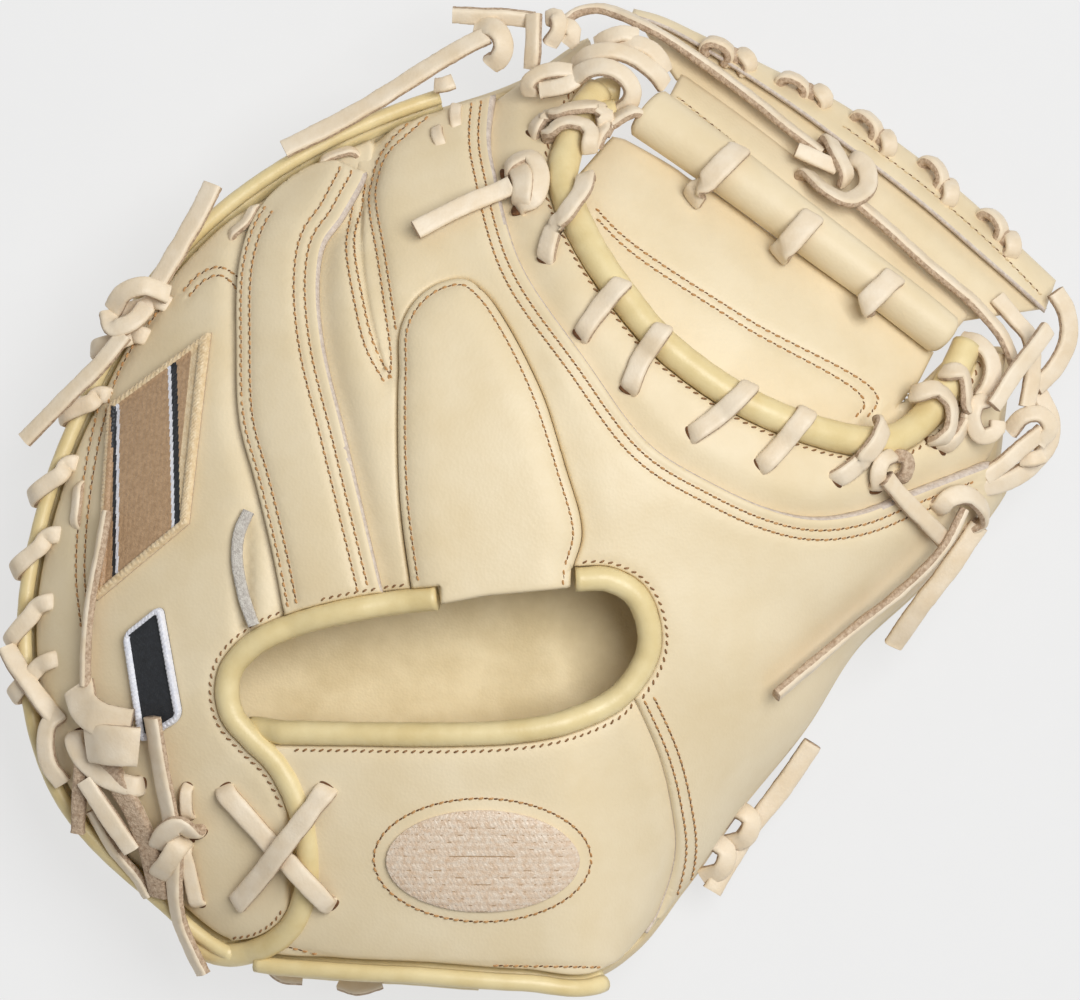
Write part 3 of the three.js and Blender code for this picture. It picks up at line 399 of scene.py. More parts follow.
# Rayon embroidery thread laid side by side: silky and bright
rose_satin = finish("rose_satin", "#BE9C77", "#A68562", 1.2, 0.45, 0.12, 0.45, Sheen_Weight=0.3)
gold_satin = finish("gold_satin", "#E8D3AE", "#D3B78B", 1.4, 0.45, 0.12, 0.35, Sheen_Weight=0.3)
cream_satin = finish("cream_satin", "#E8D8C4", "#D6B99B", 1.4, 0.45, 0.12, 0.35, Sheen_Weight=0.3)
black_satin = finish("black_satin", "#26292E", "#1B1D21", 1.4, 0.45, 0.1, 0.4, Sheen_Weight=0.2)
white_satin = finish("white_satin", "#ECECF0", "#D8DAE4", 1.4, 0.45, 0.1, 0.4, Sheen_Weight=0.2)


def piece(name, points, faces, looks, replaces=(), slot=None, face_look=None, part=True):
    """An object made of points in millimetres and arrays of equally sided faces."""
    faces = [np.asarray(group, int) for group in faces if len(group)]
    mesh = bpy.data.meshes.new(name)
    mesh.vertices.add(len(points))
    mesh.vertices.foreach_set("co", ((np.asarray(points) - MIDDLE) * MM).ravel())
    corners = np.concatenate([group.ravel() for group in faces])
    sizes = np.concatenate([np.full(len(group), group.shape[1]) for group in faces])
    mesh.loops.add(len(corners))
    mesh.loops.foreach_set("vertex_index", corners)
    mesh.polygons.add(len(sizes))
    mesh.polygons.foreach_set("loop_start", np.cumsum(sizes) - sizes)
    if face_look is not None:
        mesh.polygons.foreach_set("material_index", np.asarray(face_look, int))
    mesh.polygons.foreach_set("use_smooth", np.full(len(sizes), part))
    mesh.update(calc_edges=True)
    for look in looks:
        mesh.materials.append(look)
    made = bpy.data.objects.new(name, mesh)
    bpy.context.scene.collection.objects.link(made)
    if part:
        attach(made, "root")
    if replaces:
        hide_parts(*replaces)
    return made


class Bundle:
    """Several closed bodies gathered into the arrays of one piece."""

    def __init__(self):
        self.points, self.quads, self.tris, self.quad_look, self.tri_look = [], [], [], [], []
        self.count = 0

    def add(self, points, quads, tris, quad_look, tri_look):
        self.points.append(points)
        self.quads.append(np.asarray(quads, int).reshape(-1, 4) + self.count)
        self.tris.append(np.asarray(tris, int).reshape(-1, 3) + self.count)
        self.quad_look.append(np.broadcast_to(quad_look, len(self.quads[-1])))
        self.tri_look.append(np.broadcast_to(tri_look, len(self.tris[-1])))
        self.count += len(points)

    def piece(self, name, looks, replaces=(), slot=None):
        return piece(
            name,
            np.vstack(self.points),
            [np.vstack(self.quads), np.vstack(self.tris)],
            looks,
            replaces,
            slot,
            np.concatenate(self.quad_look + self.tri_look),
        )


def frames(centres, ups):
    way = np.gradient(centres, axis=0)
    way /= np.linalg.norm(way, axis=1, keepdims=True)
    side = np.cross(way, ups)
    side /= np.linalg.norm(side, axis=1, keepdims=True)
    return way, side, np.cross(side, way)


def tube(bundle, points, looks, end_look):
    """A closed body through rings of points. Looks is a material for each side of the rings."""
    rings, sides = points.shape[:2]
    k = np.arange(sides)
    first = (np.arange(rings - 1) * sides)[:, None]
    quads = np.stack([
        first + k, first + (k + 1) % sides, first + sides + (k + 1) % sides, first + sides + k,
    ], -1).reshape(-1, 4)
    fan = np.arange(1, sides - 1)
    last = (rings - 1) * sides
    tris = np.vstack([
        np.stack([0 * fan, fan + 1, fan], -1),
        np.stack([0 * fan + last, last + fan, last + fan + 1], -1),
    ])
    quad_look = np.tile(np.broadcast_to(looks, sides), rings - 1)
    bundle.add(points.reshape(-1, 3), quads, tris, quad_look, end_look)


def rings_of(path, side, up, section):
    """Rings of points about a path, from rows of sideways and upward offsets."""
    return path[:, None] + side[:, None] * section[..., :1] + up[:, None] * section[..., 1:]


def sweep(bundle, centres, ups, section, looks=0, end_look=0):
    """A closed bar along a path, of one section or of one for each of its points."""
    _, side, up = frames(centres, ups)
    section = np.broadcast_to(section, (len(centres), *np.shape(section)[-2:]))
    tube(bundle, rings_of(centres, side, up, section), looks, end_look)


def soft_noise(count, scale, amount):
    """Smooth random values along a path."""
    coarse = seed.normal(0, amount, max(4, int(count / scale) + 3))
    return np.interp(np.linspace(0, len(coarse) - 1, count), np.arange(len(coarse)), coarse)


def roll(bundle, centres, ups, radius, sides=14):
    """Leather rolled over a cord: round, with faint creases across it."""
    count = len(centres)
    angle = np.linspace(0, 2 * math.pi, sides, endpoint=False)
    circle = np.stack([np.cos(angle), np.sin(angle)], -1) * radius
    crease = 1 + 0.012 * np.sin(np.cumsum(seed.uniform(0.5, 2.2, count)))
    crease = crease + soft_noise(count, 7, 0.012)
    sweep(bundle, centres, ups, circle[None] * crease[:, None, None])


def tile(field, rows=(), coarse=2.2, edge=0.9):
    """Triangles over the part of the plan where the field, a distance inside, is positive. Points
    lie closest along the outline and the given rows of stitches."""
    span = np.arange(-160, 160, coarse)
    gx, gy = np.meshgrid(span, np.arange(-140, 142, coarse * 0.87))
    gx = gx + (np.arange(gx.shape[0]) % 2)[:, None] * coarse / 2
    gx, gy = gx.ravel(), gy.ravel()
    value = field(gx, gy)
    near = np.abs(value) < coarse * 0.8
    # Four points about every near grid point slide down the field to the outline
    shifts = [(0, 0), (0.55, 0), (-0.55, 0), (0, 0.55), (0, -0.55)]
    bx = np.concatenate([gx[near] + coarse * a for a, b in shifts])
    by = np.concatenate([gy[near] + coarse * b for a, b in shifts])
    for _ in range(4):
        here = field(bx, by)
        dx = (field(bx + 0.05, by) - field(bx - 0.05, by)) / 0.1
        dy = (field(bx, by + 0.05) - field(bx, by - 0.05)) / 0.1
        size = np.maximum(dx**2 + dy**2, 0.2)
        bx, by = bx - here * dx / size, by - here * dy / size
    settled = np.abs(field(bx, by)) < 0.02
    bx, by, dx, dy = bx[settled], by[settled], dx[settled], dy[settled]
    _, keep = np.unique(np.round(np.stack([bx, by], -1) / edge), axis=0, return_index=True)
    bx, by, dx, dy = bx[keep], by[keep], dx[keep], dy[keep]
    points = [np.stack([bx, by], -1)]
    for inward in (0.45, 1.0, 1.9):
        px, py = bx + dx * inward, by + dy * inward
        good = field(px, py) > inward * 0.9
        points.append(np.stack([px[good], py[good]], -1))
    clear = value > 2.6
    for row in rows:
        clear &= np.abs(side_of(row, gx, gy)) > 2.2
        for offset in (-1.7, -0.8, 0, 0.8, 1.7):
            line = beside(spaced(row[:, :2], 0.95), offset)
            good = field(line[:, 0], line[:, 1]) > 2.3
            points.append(line[good])
    points.append(np.stack([gx[clear], gy[clear]], -1))
    points = np.vstack(points)
    _, keep = np.unique(np.round(points / 0.42), axis=0, return_index=True)
    points = points[np.sort(keep)]
    found = delaunay_2d_cdt([tuple(p) for p in points], [], [], 0, 1e-7)
    spots = np.array([tuple(p) for p in found[0]])
    faces = np.array(found[2])
    middle = spots[faces].mean(1)
    faces = faces[field(middle[:, 0], middle[:, 1]) > 0.03]
    a, b, c = spots[faces[:, 0]], spots[faces[:, 1]], spots[faces[:, 2]]
    area = (b[:, 0] - a[:, 0]) * (c[:, 1] - a[:, 1]) - (b[:, 1] - a[:, 1]) * (c[:, 0] - a[:, 0])
    faces = faces[np.abs(area) > 1e-4]
    area = area[np.abs(area) > 1e-4]
    faces[area < 0] = faces[area < 0][:, ::-1]
    used, faces = np.unique(faces, return_inverse=True)
    return spots[used], faces.reshape(-1, 3)


def slab(name, field, top, bottom, looks, replaces, slot, rows=(), walls=2, bulge=0.0,
         raw_line=None, bevel=0.0, coarse=2.2):
    """A closed sheet between two skins over the plan. Looks are the top, the raw edge and the
    bottom. Faces of the top that lie within the bevel of the raw line are raw too."""
    plan, faces = tile(field, rows, coarse)
    upper, lower = top(plan), bottom(plan)
    count = len(plan)
    edges = np.vstack([faces[:, [0, 1]], faces[:, [1, 2]], faces[:, [2, 0]]])
    key = {(a, b) for a, b in edges.tolist()}
    rim = np.array([(a, b) for a, b in edges.tolist() if (b, a) not in key])
    rim_spots = np.unique(rim)
    order = {spot: i for i, spot in enumerate(rim_spots.tolist())}
    points = [upper, lower]
    step = 0.3
    x, y = plan[rim_spots, 0], plan[rim_spots, 1]
    out = -np.stack([
        field(x + step, y) - field(x - step, y), field(x, y + step) - field(x, y - step),
    ], -1)
    out /= np.maximum(np.linalg.norm(out, axis=1, keepdims=True), 0.01)
    for k in range(1, walls):
        share = k / walls
        ring = upper[rim_spots] * (1 - share) + lower[rim_spots] * share
        ring[:, :2] += out * bulge * math.sin(math.pi * share)
        points.append(ring)

    def at(level, spots):
        if level == 0:
            return spots
        if level == walls:
            return spots + count
        base = 2 * count + (level - 1) * len(rim_spots)
        return base + np.array([order[s] for s in spots.tolist()])

    quads = [
        np.stack([at(k, rim[:, 1]), at(k, rim[:, 0]), at(k + 1, rim[:, 0]), at(k + 1, rim[:, 1])], -1)
        for k in range(walls)
    ]
    middle = plan[faces].mean(1)
    shallow = np.zeros(len(faces), int)
    if raw_line is not None:
        width = bevel(middle[:, 0], middle[:, 1]) if callable(bevel) else bevel
        shallow[np.abs(side_of(raw_line, middle[:, 0], middle[:, 1])) < width] = 1
    look = np.concatenate([shallow, np.full(len(faces), 2), np.full(len(rim) * walls, 1)])
    tris = np.vstack([faces, faces[:, ::-1] + count])
    return piece(name, np.vstack(points), [tris, np.vstack(quads)], looks, replaces, slot, look)


def rounding(depth, radius=1.5):
    """How far a turned leather edge falls at a distance inside its outline."""
    inner = np.clip(radius - depth, 0, radius)
    return radius - np.sqrt(np.maximum(radius**2 - inner**2, 0))


def furrow(rows, x, y, wide=1.0, deep=0.45):
    """Stitches draw the leather down along their rows."""
    fall = np.zeros(len(x))
    for row in rows:
        fall = np.minimum(fall, -deep * np.exp(-((side_of(row, x, y) / wide) ** 2)))
    return fall


def clip(line, low=-FAR, high=FAR, axis=1):
    return line[(line[:, axis] > low) & (line[:, axis] < high)]


# Rows of stitches on the back: a line, or two of them side by side
hood_row = beside(clip(hood_line, -24.5), -2.7)
finger_rows = [clip(finger_seam, -30, 80), beside(clip(finger_seam, -30, 80), -2.5)]
forefinger_rows = [beside(clip(forefinger_seam, -27, 92), at) for at in (-3.3, -6.1)]
facing_rows = [beside(facing_line[4:-4], at) for at in (-3.2, -5.7)]
stall_line = smooth([
    [-41.9, 31.6], [-46.7, 40.5], [-50.2, 54.5], [-52.7, 71], [-51.6, 83.7], [-51.3, 89.6],
    [-54, 92.3], [-58, 91.8], [-63.5, 89.1], [-68, 85], [-71.6, 79.6],
])
forefinger_stall_line = smooth([
    [-41.2, 32.4], [-40.5, 37], [-41.9, 50.5], [-44.3, 67], [-46.7, 79.4], [-47.3, 86],
    [-45.1, 94], [-37.5, 101], [-29.2, 107.5], [-12.2, 113.4],
])
stall_rows = [
    forefinger_stall_line, beside(forefinger_stall_line, -2.2), stall_line, beside(stall_line, -2.2),
]
slit_line = smooth([[-49.6, 84], [-48.6, 66], [-46.2, 50], [-42.8, 35.8]])
pinky_arc = smooth([
    [-97.2, 56.2], [-92.3, 61.3], [-86.4, 63.2], [-81.5, 59.7], [-80.6, 50],
])
edge_line = smooth([
    [-102.3, 57.2], [-115.6, 37.8], [-121.2, 19.7], [-124.7, -2.2], [-125.6, -20.2], [-124.2, -34],
])
pinky_rows = [pinky_arc, beside(pinky_arc, -2.2), edge_line, beside(edge_line, 2.4), stall_line]
strap_rows = [beside(strap_seam[2:-8], at) for at in (2.0, 4.7)]
hem_row = smooth([[-70, -120.6], [-52.5, -124.2], [-16.5, -125.4], [12, -126], [22, -126.6]])
tab_row = beside(tab_line, -1.2)
strap_edge_row = beside(strap_line, 1.2)
OVAL = np.array([-15.5, -96.5])
OVAL_SIZE = np.array([25.6, 13.7])
OVAL_SEWING = np.array([29.1, 16.7])
turn = np.linspace(0, 2 * math.pi, 97)
oval_row = OVAL + np.stack([np.cos(turn), np.sin(turn)], -1) * OVAL_SEWING


def shell_depth(x, y):
    section = section_at(x, y)
    return section["reach"] - section["inset"] - np.hypot(x, y)


def both(*values):
    return np.minimum.reduce(values)


def bell(distance, wide):
    return np.exp(-((distance / wide) ** 2))


def ramp(value):
    return np.clip(value, 0, 1)


PANELS = {}


def panel(name, field, lift, looks, node_name, rows=(), thick=LEATHER, raw=None, place=on_back):
    """One leather of the back. Its edge is turned or, along the raw line, cut and grey."""
    def upper(x, y):
        depth = field(x, y)
        return lift(x, y) + furrow(rows, x, y) - rounding(depth, 1.2)

    def top(plan):
        return place(plan[:, 0], plan[:, 1], upper(plan[:, 0], plan[:, 1]))

    def bottom(plan):
        return place(plan[:, 0], plan[:, 1], lift(plan[:, 0], plan[:, 1]) - thick)

    PANELS[name] = upper, field, place
    raw_line, raw_width = raw or (None, 0)
    return slab(name, field, top, bottom, looks, [node_name], "shell_leather", rows,
                raw_line=raw_line, bevel=raw_width)


SHELL_LOOKS = [cowhide, cut_edge, lining]
TURNED_LOOKS = [cowhide, cowhide, lining]

pinky_area = outline(
    beside(finger_seam, -2.5), [-43, 118], [-43, FAR], [-FAR, FAR], [-FAR, -FAR], [-86, -FAR],
    clip(tab_line, -FAR, -68, 0)[::-1],
)
middle_area = outline(
    beside(finger_seam, 1.6)[:-6], clip(forefinger_seam, -FAR, 91.5), [-41, -40], [-66, -40]
)
main_area = outline(
    beside(forefinger_seam, -4), [-10, -45], strap_seam, [22, -FAR], [FAR, -FAR], [FAR, 10],
    facing_line[::-1], [-10.5, FAR], [-47, FAR],
)
facing_area = outline(
    beside(facing_line, -3.5), [127, 30], [127, 60], [110, 60], collar_line[::-1], [16, FAR],
    [-10.5, FAR],
)
strap_area = outline(
    clip(strap_line, -FAR, -54)[::-1], beside(strap_seam, 2.5), [22, -FAR], [-66, -FAR],
    clip(beside(tab_line, 1.0), -FAR, -66)[::-1],
)

pinky_rows_all = pinky_rows + [tab_row]
panel(
    "pinky_back_leather",
    lambda x, y: both(
        inside(pinky_area, x, y), shell_depth(x, y), -inside(hand_opening, x, y),
    ),
    lambda x, y: -2.4 * (1 - ramp((side_of(finger_seam, x, y) - 1.6) / 5) ** 0.6)
    * (side_of(finger_seam, x, y) < 7)
    - 2.2 * bell(x + 79.3, 2.2) * ramp((-y - 1) / 6) * ramp((y + 41) / 6),
    TURNED_LOOKS, "pinky_back", pinky_rows_all,
)
panel(
    "middle_back_leather",
    lambda x, y: both(inside(middle_area, x, y), -inside(hand_opening, x, y)),
    lambda x, y: 1.2 + 0 * x,
    SHELL_LOOKS, "middle_back", finger_rows + forefinger_rows + [tab_row], HIDE,
    (forefinger_seam, 0.5),
)


def facing_raw(x, y):
    """Width of the cut edge that shows: broad at the tips and the thumb, thin between."""
    return np.where((y > 74) | (x > 92), 1.0, 0.45)


main_rows = facing_rows + stall_rows + [tab_row[:30], strap_edge_row, slit_line]
panel(
    "main_back_leather",
    lambda x, y: both(
        inside(main_area, x, y), shell_depth(x, y), -inside(hood_area, x, y),
        -inside(hand_opening, x, y), -inside(thumb_tip_cut, x, y),
    ),
    lambda x, y: 0.9 * bell(side_of(facing_line, x, y), 9)
    - 1.6 * bell(np.maximum(side_of(forefinger_seam, x, y), 0), 4)
    - 1.0 * bell(side_of(slit_line, x, y), 0.6),
    SHELL_LOOKS, "main_back", main_rows, LEATHER, (facing_line, facing_raw),
)
hood = panel(
    "finger_hood_leather",
    lambda x, y: both(inside(hood_area, x, y), -inside(hand_opening, x, y)),
    lambda x, y: 1.6 + 0.9 * ramp(inside(hood_area, x, y) / 9)
    - 1.6 * rounding(inside(hood_area, x, y), 1.8),
    TURNED_LOOKS, "finger_hood", [hood_row],
)
panel(
    "web_facing_leather",
    lambda x, y: both(
        inside(facing_area, x, y), shell_depth(x, y), -inside(web_notch, x, y),
        -inside(thumb_tip_cut, x, y),
    ),
    lambda x, y: -2.2 * (1 - ramp(side_of(facing_line, x, y) / 7) ** 0.7)
    - 0.6 * bell(side_of(collar_line, x, y) + 4.6, 1.2),
    TURNED_LOOKS, "web_facing",
)
panel(
    "wrist_strap_leather",
    lambda x, y: both(inside(strap_area, x, y), shell_depth(x, y), -inside(hand_opening, x, y)),
    lambda x, y: -1.6 * bell(np.maximum(-side_of(strap_seam, x, y), 0), 3.5)
    + 0.7 * ramp(4 - 4 * np.hypot(*(((np.stack([x, y]).T - OVAL) / (OVAL_SEWING + 1)).T))),
    TURNED_LOOKS, "wrist_strap", [hem_row, strap_edge_row],
)

# The web: a flat panel, a padded bar with its strip, and two bands outside it
bar_axis = smooth([[28.6, 105.2], [46.1, 92.7], [74.5, 71.1], [95.7, 55.2], [109.6, 44.2]])
strip_inner = smooth([[35, 108.4], [50, 96.6], [77, 75], [98, 58.2], [112.5, 46]])
strip_outer = smooth([[38.6, 116.4], [53, 106], [69, 93.6], [93, 73], [116.7, 50.5]])
rim_inner = smooth([
    [24.6, 131.8], [35, 128], [65.5, 109], [84.5, 95], [104, 80], [122.5, 64], [137.5, 51],
])
rim_outer = smooth([
    [25.6, 134.2], [33, 132.2], [43, 127.6], [62, 118.5], [82, 108.5], [100, 96], [117, 82.5],
    [134, 66.5], [141, 60],
])
panel_edge = smooth([
    [22.6, 98], [27.6, 95.3], [33.4, 92], [37.5, 89.4], [41, 86.8], [46, 84.4], [62, 72.6],
    [84, 57], [106.8, 40],
])
web_outline = outline(
    [17.4, 96.6], [19.5, 98.6], panel_edge, [102.7, 31.9], [95.6, 23.7],
    clip(beside(collar_line, 1.2), 14, 86)[::-1],
)
web_rows = [
    smooth([[14.5, 79.2], [23.5, 70.2], [56, 48.6], [91.2, 27.6], [87, 20.8]], 1.0),
    smooth([[14.8, 76.4], [24, 67.2], [54, 47.2], [87.6, 26.4], [84, 21.2]], 1.0),
]
WEB_LIFT = -7.0


def web_piece(name, area, lift, node_name, rows=(), thick=LEATHER, raw=None):
    panel(name, lambda x, y: inside(area, x, y), lift, SHELL_LOOKS if raw else TURNED_LOOKS,
          node_name, rows, thick, raw, over_plan)


web_piece(
    "web_panel_leather", web_outline,
    lambda x, y: WEB_LIFT + 1.2 * ramp(inside(web_outline, x, y) / 14), "web_panel", web_rows, 4.0,
)
strip_row = smooth([[36.4, 110.3], [51, 98.3], [78.3, 76.2], [99, 59.6], [110.6, 50.2]])
web_piece(
    "bar_strip_leather", outline(beside(strip_inner, -2.5), strip_outer[::-1]),
    lambda x, y: -4 + 3.4 * ramp(-side_of(strip_inner, x, y) / 2.5 + 0.2), "bar_strip", [strip_row],
)
crease_row = smooth([[90, 81], [104, 68.5], [119.5, 56.5]])
web_piece(
    "web_band_leather", outline(beside(strip_outer, -2.5), beside(rim_inner, 1.6)[::-1]),
    lambda x, y: -5 + 1.4 * ramp(side_of(strip_outer, x, y) / 8)
    - 0.5 * bell(side_of(crease_row, x, y), 0.8),
    "web_band",
)
rim_row = smooth([[82, 102.4], [104, 86], [122, 70.5], [136.5, 56]])
web_piece(
    "rim_band_leather", outline(rim_inner, rim_outer[::-1]),
    lambda x, y: -0.6 - 1.2 * (1 - ramp(-side_of(rim_outer, x, y) / 5)) ** 2,
    "rim_band", [rim_row], 4.0, (rim_inner, 1.2),
)


# The padded palm
def pad_top(plan):
    x, y = plan[:, 0], plan[:, 1]
    section = section_at(x, y)
    reach = section["reach"] - section["inset"]
    share = np.maximum(np.hypot(x, y) / reach, 1e-4)
    outward = np.minimum(1 + (LEATHER + 2) / np.maximum(share * reach, 12), 1 / share)
    under = back_height(x * outward, y * outward) - LEATHER - 0.9
    room = HAND_ROOM * (1 - share**2.6) + section["mouth"] * share**2.6
    t = np.clip((np.abs(side_of(collar_line, x, y)) - 6) / 28, 0, 1)
    closing = t * t * (3 - 2 * t)
    mouth = np.where(share > 0.9, section["mouth"] / MOUTH_ROOM, 0)
    return under - room * np.maximum(closing, mouth)


def pad_low(plan):
    x, y = plan[:, 0], plan[:, 1]
    section = section_at(x, y)
    share = np.hypot(x, y) / (section["reach"] - section["inset"])
    ceiling = np.maximum(POCKET_CEILING, section["ring"])
    ring = np.maximum(section["ring"], 0) - 2.5
    slide = np.clip((share - 0.2) / (RING_AT - 0.2), 0, 1)
    wave = 0.5 + 0.5 * np.cos(math.pi * slide)
    outer = np.maximum(share - RING_AT, 0) / (1 - RING_AT)
    foot = np.maximum(np.minimum(section["seam"], 42) - 18, 6)
    low = np.where(share < RING_AT, ring + (ceiling - ring) * wave, ring + (foot - ring) * outer**2.4)
    return np.maximum(np.minimum(low, pad_top(plan) - PALM_WALL), 0)


def palm_field(x, y):
    section = section_at(x, y)
    heel = 4 * section["mouth"] / MOUTH_ROOM
    rim = section["reach"] - section["inset"] - 1.6 + heel - np.hypot(x, y)
    return both(rim, -inside(web_notch, x, y), -inside(thumb_tip_cut, x, y))


palm = slab(
    "palm_leather", palm_field,
    lambda plan: np.column_stack([plan, pad_top(plan)]),
    lambda plan: np.column_stack([plan, pad_low(plan)]),
    [lining, palm_hide, palm_hide], ["palm_pad"], "palm_leather", walls=7, bulge=1.8, coarse=2.6,
)

# Stitches: short bowed threads, with a dark plug of painted shade for the needle hole between each two
STATIONS = np.linspace(-1, 1, 5)
pentagon = np.linspace(0, 2 * math.pi, 5, endpoint=False)
CIRCLE = np.stack([np.cos(pentagon), np.sin(pentagon)], -1)
STITCH_LOOKS = [thread, hole_shade, pale_thread, dark_thread]
BROWN, HOLE_SHADE, PALE, DARK = range(4)
HOLE_HALF = [0.27, 0.66]  # across its row and along it
stitches = Bundle()


def surface_of(name):
    """A leather's own surface as a function of the plan and of a lift over it."""
    upper, _, place = PANELS[name]
    return lambda plan, raise_by: place(plan[:, 0], plan[:, 1], upper(plan[:, 0], plan[:, 1]) + raise_by)


def sew(row, name, pitch=STITCH_PITCH, size=THREAD, skew=0.2, look=BROWN, length=0.28, holes=True):
    """A row of stitches where it lies on the named leather. Skew turns each stitch from the row,
    and length is half a stitch as a share of the pitch."""
    field = PANELS[name][1]
    surface = surface_of(name)
    fine = spaced(row[:, :2], 0.5)
    fine = fine[field(fine[:, 0], fine[:, 1]) > 0.9]
    if len(fine) < 3:
        return
    steps = np.linalg.norm(np.diff(surface(fine, 0.0), axis=0), axis=1)
    steps[steps > 4] = 0
    along = np.concatenate([[0], np.cumsum(steps)])
    marks = np.arange(pitch / 2, along[-1], pitch)
    spots = np.stack([np.interp(marks, along, fine[:, k]) for k in (0, 1)], -1)
    ahead = np.stack([np.interp(marks + 0.5, along, fine[:, k]) for k in (0, 1)], -1)
    behind = np.stack([np.interp(marks - 0.5, along, fine[:, k]) for k in (0, 1)], -1)
    # Where the row leaves the leather and comes back, no stitch bridges the gap
    close = np.linalg.norm(ahead - behind, axis=1) < 1.6
    spots, way = spots[close], (ahead - behind)[close]
    angle = np.arctan2(way[:, 1], way[:, 0]) + seed.normal(skew, 0.05, len(spots))
    stretch = np.linalg.norm(way, axis=1)[:, None, None]
    direction = np.stack([np.cos(angle), np.sin(angle)], -1)
    reach = STATIONS * pitch * length
    plan = (spots[:, None] + direction[:, None] * reach[None, :, None] * stretch).reshape(-1, 2)
    bow = np.tile(0.32 - 0.6 * STATIONS**4, len(spots))
    centres = surface(plan, bow).reshape(-1, 5, 3)
    ups = back_normal(plan[:, 0], plan[:, 1]).reshape(-1, 5, 3)
    thin = size / 2 * np.array([0.6, 0.95, 1.05, 0.95, 0.6])
    section = CIRCLE[None] * [1, 0.8] * thin[:, None, None]
    for path, up in zip(centres, ups):
        sweep(stitches, path, up, section, look, look)
    if not holes:
        return
    # Needle holes: dark plugs, painted shade sunk between the stitches
    apart = np.linalg.norm(np.diff(centres[:, 2], axis=0), axis=1)
    middle = (spots[:-1] + spots[1:])[apart < 1.5 * pitch] / 2
    ahead = direction[:-1][apart < 1.5 * pitch]
    low, high = surface(middle, -0.4), surface(middle, 0.08)
    for k in range(len(middle)):
        facing = np.tile([*ahead[k], 0.0], (2, 1))
        sweep(stitches, np.stack([low[k], high[k]]), facing, CIRCLE * HOLE_HALF, HOLE_SHADE, HOLE_SHADE)


WEB_PITCH = 3.0
BAND_PITCH = 2.6
for row in pinky_rows:
    sew(row, "pinky_back_leather")
for row in finger_rows + forefinger_rows:
    sew(row, "middle_back_leather")
for row in facing_rows + stall_rows + strap_rows:
    sew(row, "main_back_leather")
for row in web_rows:
    sew(row, "web_panel_leather", WEB_PITCH)
sew(hood_row, "finger_hood_leather")
sew(hem_row, "wrist_strap_leather")
sew(oval_row, "wrist_strap_leather")
sew(strip_row, "bar_strip_leather", BAND_PITCH, 0.5, look=PALE)
sew(rim_row, "rim_band_leather", BAND_PITCH, 0.5, look=PALE)
# Where leather is gathered under a roll its stitches stand askew and closer
ASKEW = {"pitch": 2.3, "size": 0.55, "skew": 0.45, "look": DARK, "length": 0.34, "holes": False}
sew(tab_row[tab_row[:, 0] < -60], "pinky_back_leather", **ASKEW)
sew(tab_row[tab_row[:, 0] > -60], "middle_back_leather", **ASKEW)
sew(tab_row[tab_row[:, 0] > -60], "main_back_leather", **ASKEW)
sew(strap_edge_row, "main_back_leather", **ASKEW)
sew(strap_edge_row, "wrist_strap_leather", **ASKEW)
sew(beside(collar_line, -COLLAR_CUT - 1.0), "web_facing_leather", **(ASKEW | {"pitch": 2.6}))
stitches.piece("stitches", STITCH_LOOKS, slot="patch_cloth")


# Rolled bindings
SECOND_ROLL = 0.86  # the collar's end rolls are this much thinner


def back_roll(bundle, line, lift, radius):
    centres = on_back(line[:, 0], line[:, 1], lift)
    roll(bundle, centres, back_normal(line[:, 0], line[:, 1]), radius)


def binding_roll(name, line, lift, radius, node_name, extra=()):
    bundle = Bundle()
    back_roll(bundle, line, lift, radius)
    for second in extra:
        back_roll(bundle, second, second[:, 2], radius * SECOND_ROLL)
    return bundle.piece(name, [binding], [node_name], "binding_leather")


# Both rolls run on past the leather's edge: one to the outer edge, one in under the other
tab_centre = beside(smooth(TAB_LINE + [[-92.5, -117.8]]), 3.3)
strap_centre = beside(smooth(STRAP_LINE + [[-79, -66]]), -3.4)
strap_lift = -0.9 - 3.6 * ramp((-69 - strap_centre[:, 0]) / 8)
binding_roll("tab_roll", tab_centre, -0.9, ROLL_RADIUS, "tab_binding")
binding_roll("strap_roll", strap_centre, strap_lift, ROLL_RADIUS, "strap_binding")
collar_ends = [
    smooth([[12.6, 108.4, -1.2], [16.7, 112, -1.6], [21.2, 112.4, -2.4]]),
    smooth([[9, 101, -1.8], [13, 105.2, -2.2], [20.2, 106.5, -2.8]]),
    smooth([[107, 27.5, -2], [112, 31, -3], [118.5, 37, -4.5]]),
]
binding_roll("collar_roll", collar_line, -0.9, COLLAR_RADIUS, "collar_binding", extra=collar_ends)


def on_edge(degrees, past, drop):
    angle = np.radians(degrees)
    section = section_at(np.cos(angle), np.sin(angle))
    distance = section["reach"] - section["inset"] + past
    return np.stack([distance * np.cos(angle), distance * np.sin(angle), section["seam"] - drop], -1)


# Section of a roll's sewn edge, how far in and how far down from the roll it lies
TUCK = np.array([[-2.3, 0.6], [-2.3, -0.6], [2.3, -0.6], [2.3, 0.6]])
TUCK_IN = 2.1
TUCK_DOWN = 2.9


def edge_roll(name, start, stop, past, drop, radius, node_name):
    bundle = Bundle()
    centres = on_edge(np.arange(start, stop, 0.6), past, drop)
    ups = np.tile([0.0, 0.0, 1.0], (len(centres), 1))
    roll(bundle, centres, ups, radius, 12)
    # The roll's sewn edge runs in under the shell
    tucked = on_edge(np.arange(start, stop, 0.6), past - TUCK_IN, drop + TUCK_DOWN)
    sweep(bundle, tucked, ups, TUCK)
    return bundle.piece(name, [binding], [node_name], "binding_leather")


edge_roll("edge_roll", 104, 236.4, 2.8, 1.8, EDGE_RADIUS, "edge_binding")
edge_roll("hem_roll", 238.5, 278, 3.1, 1.5, HEM_RADIUS, "strap_hem")
edge_roll("heel_roll", 243, 263, 5.2, 38, HEM_RADIUS, "heel_binding")


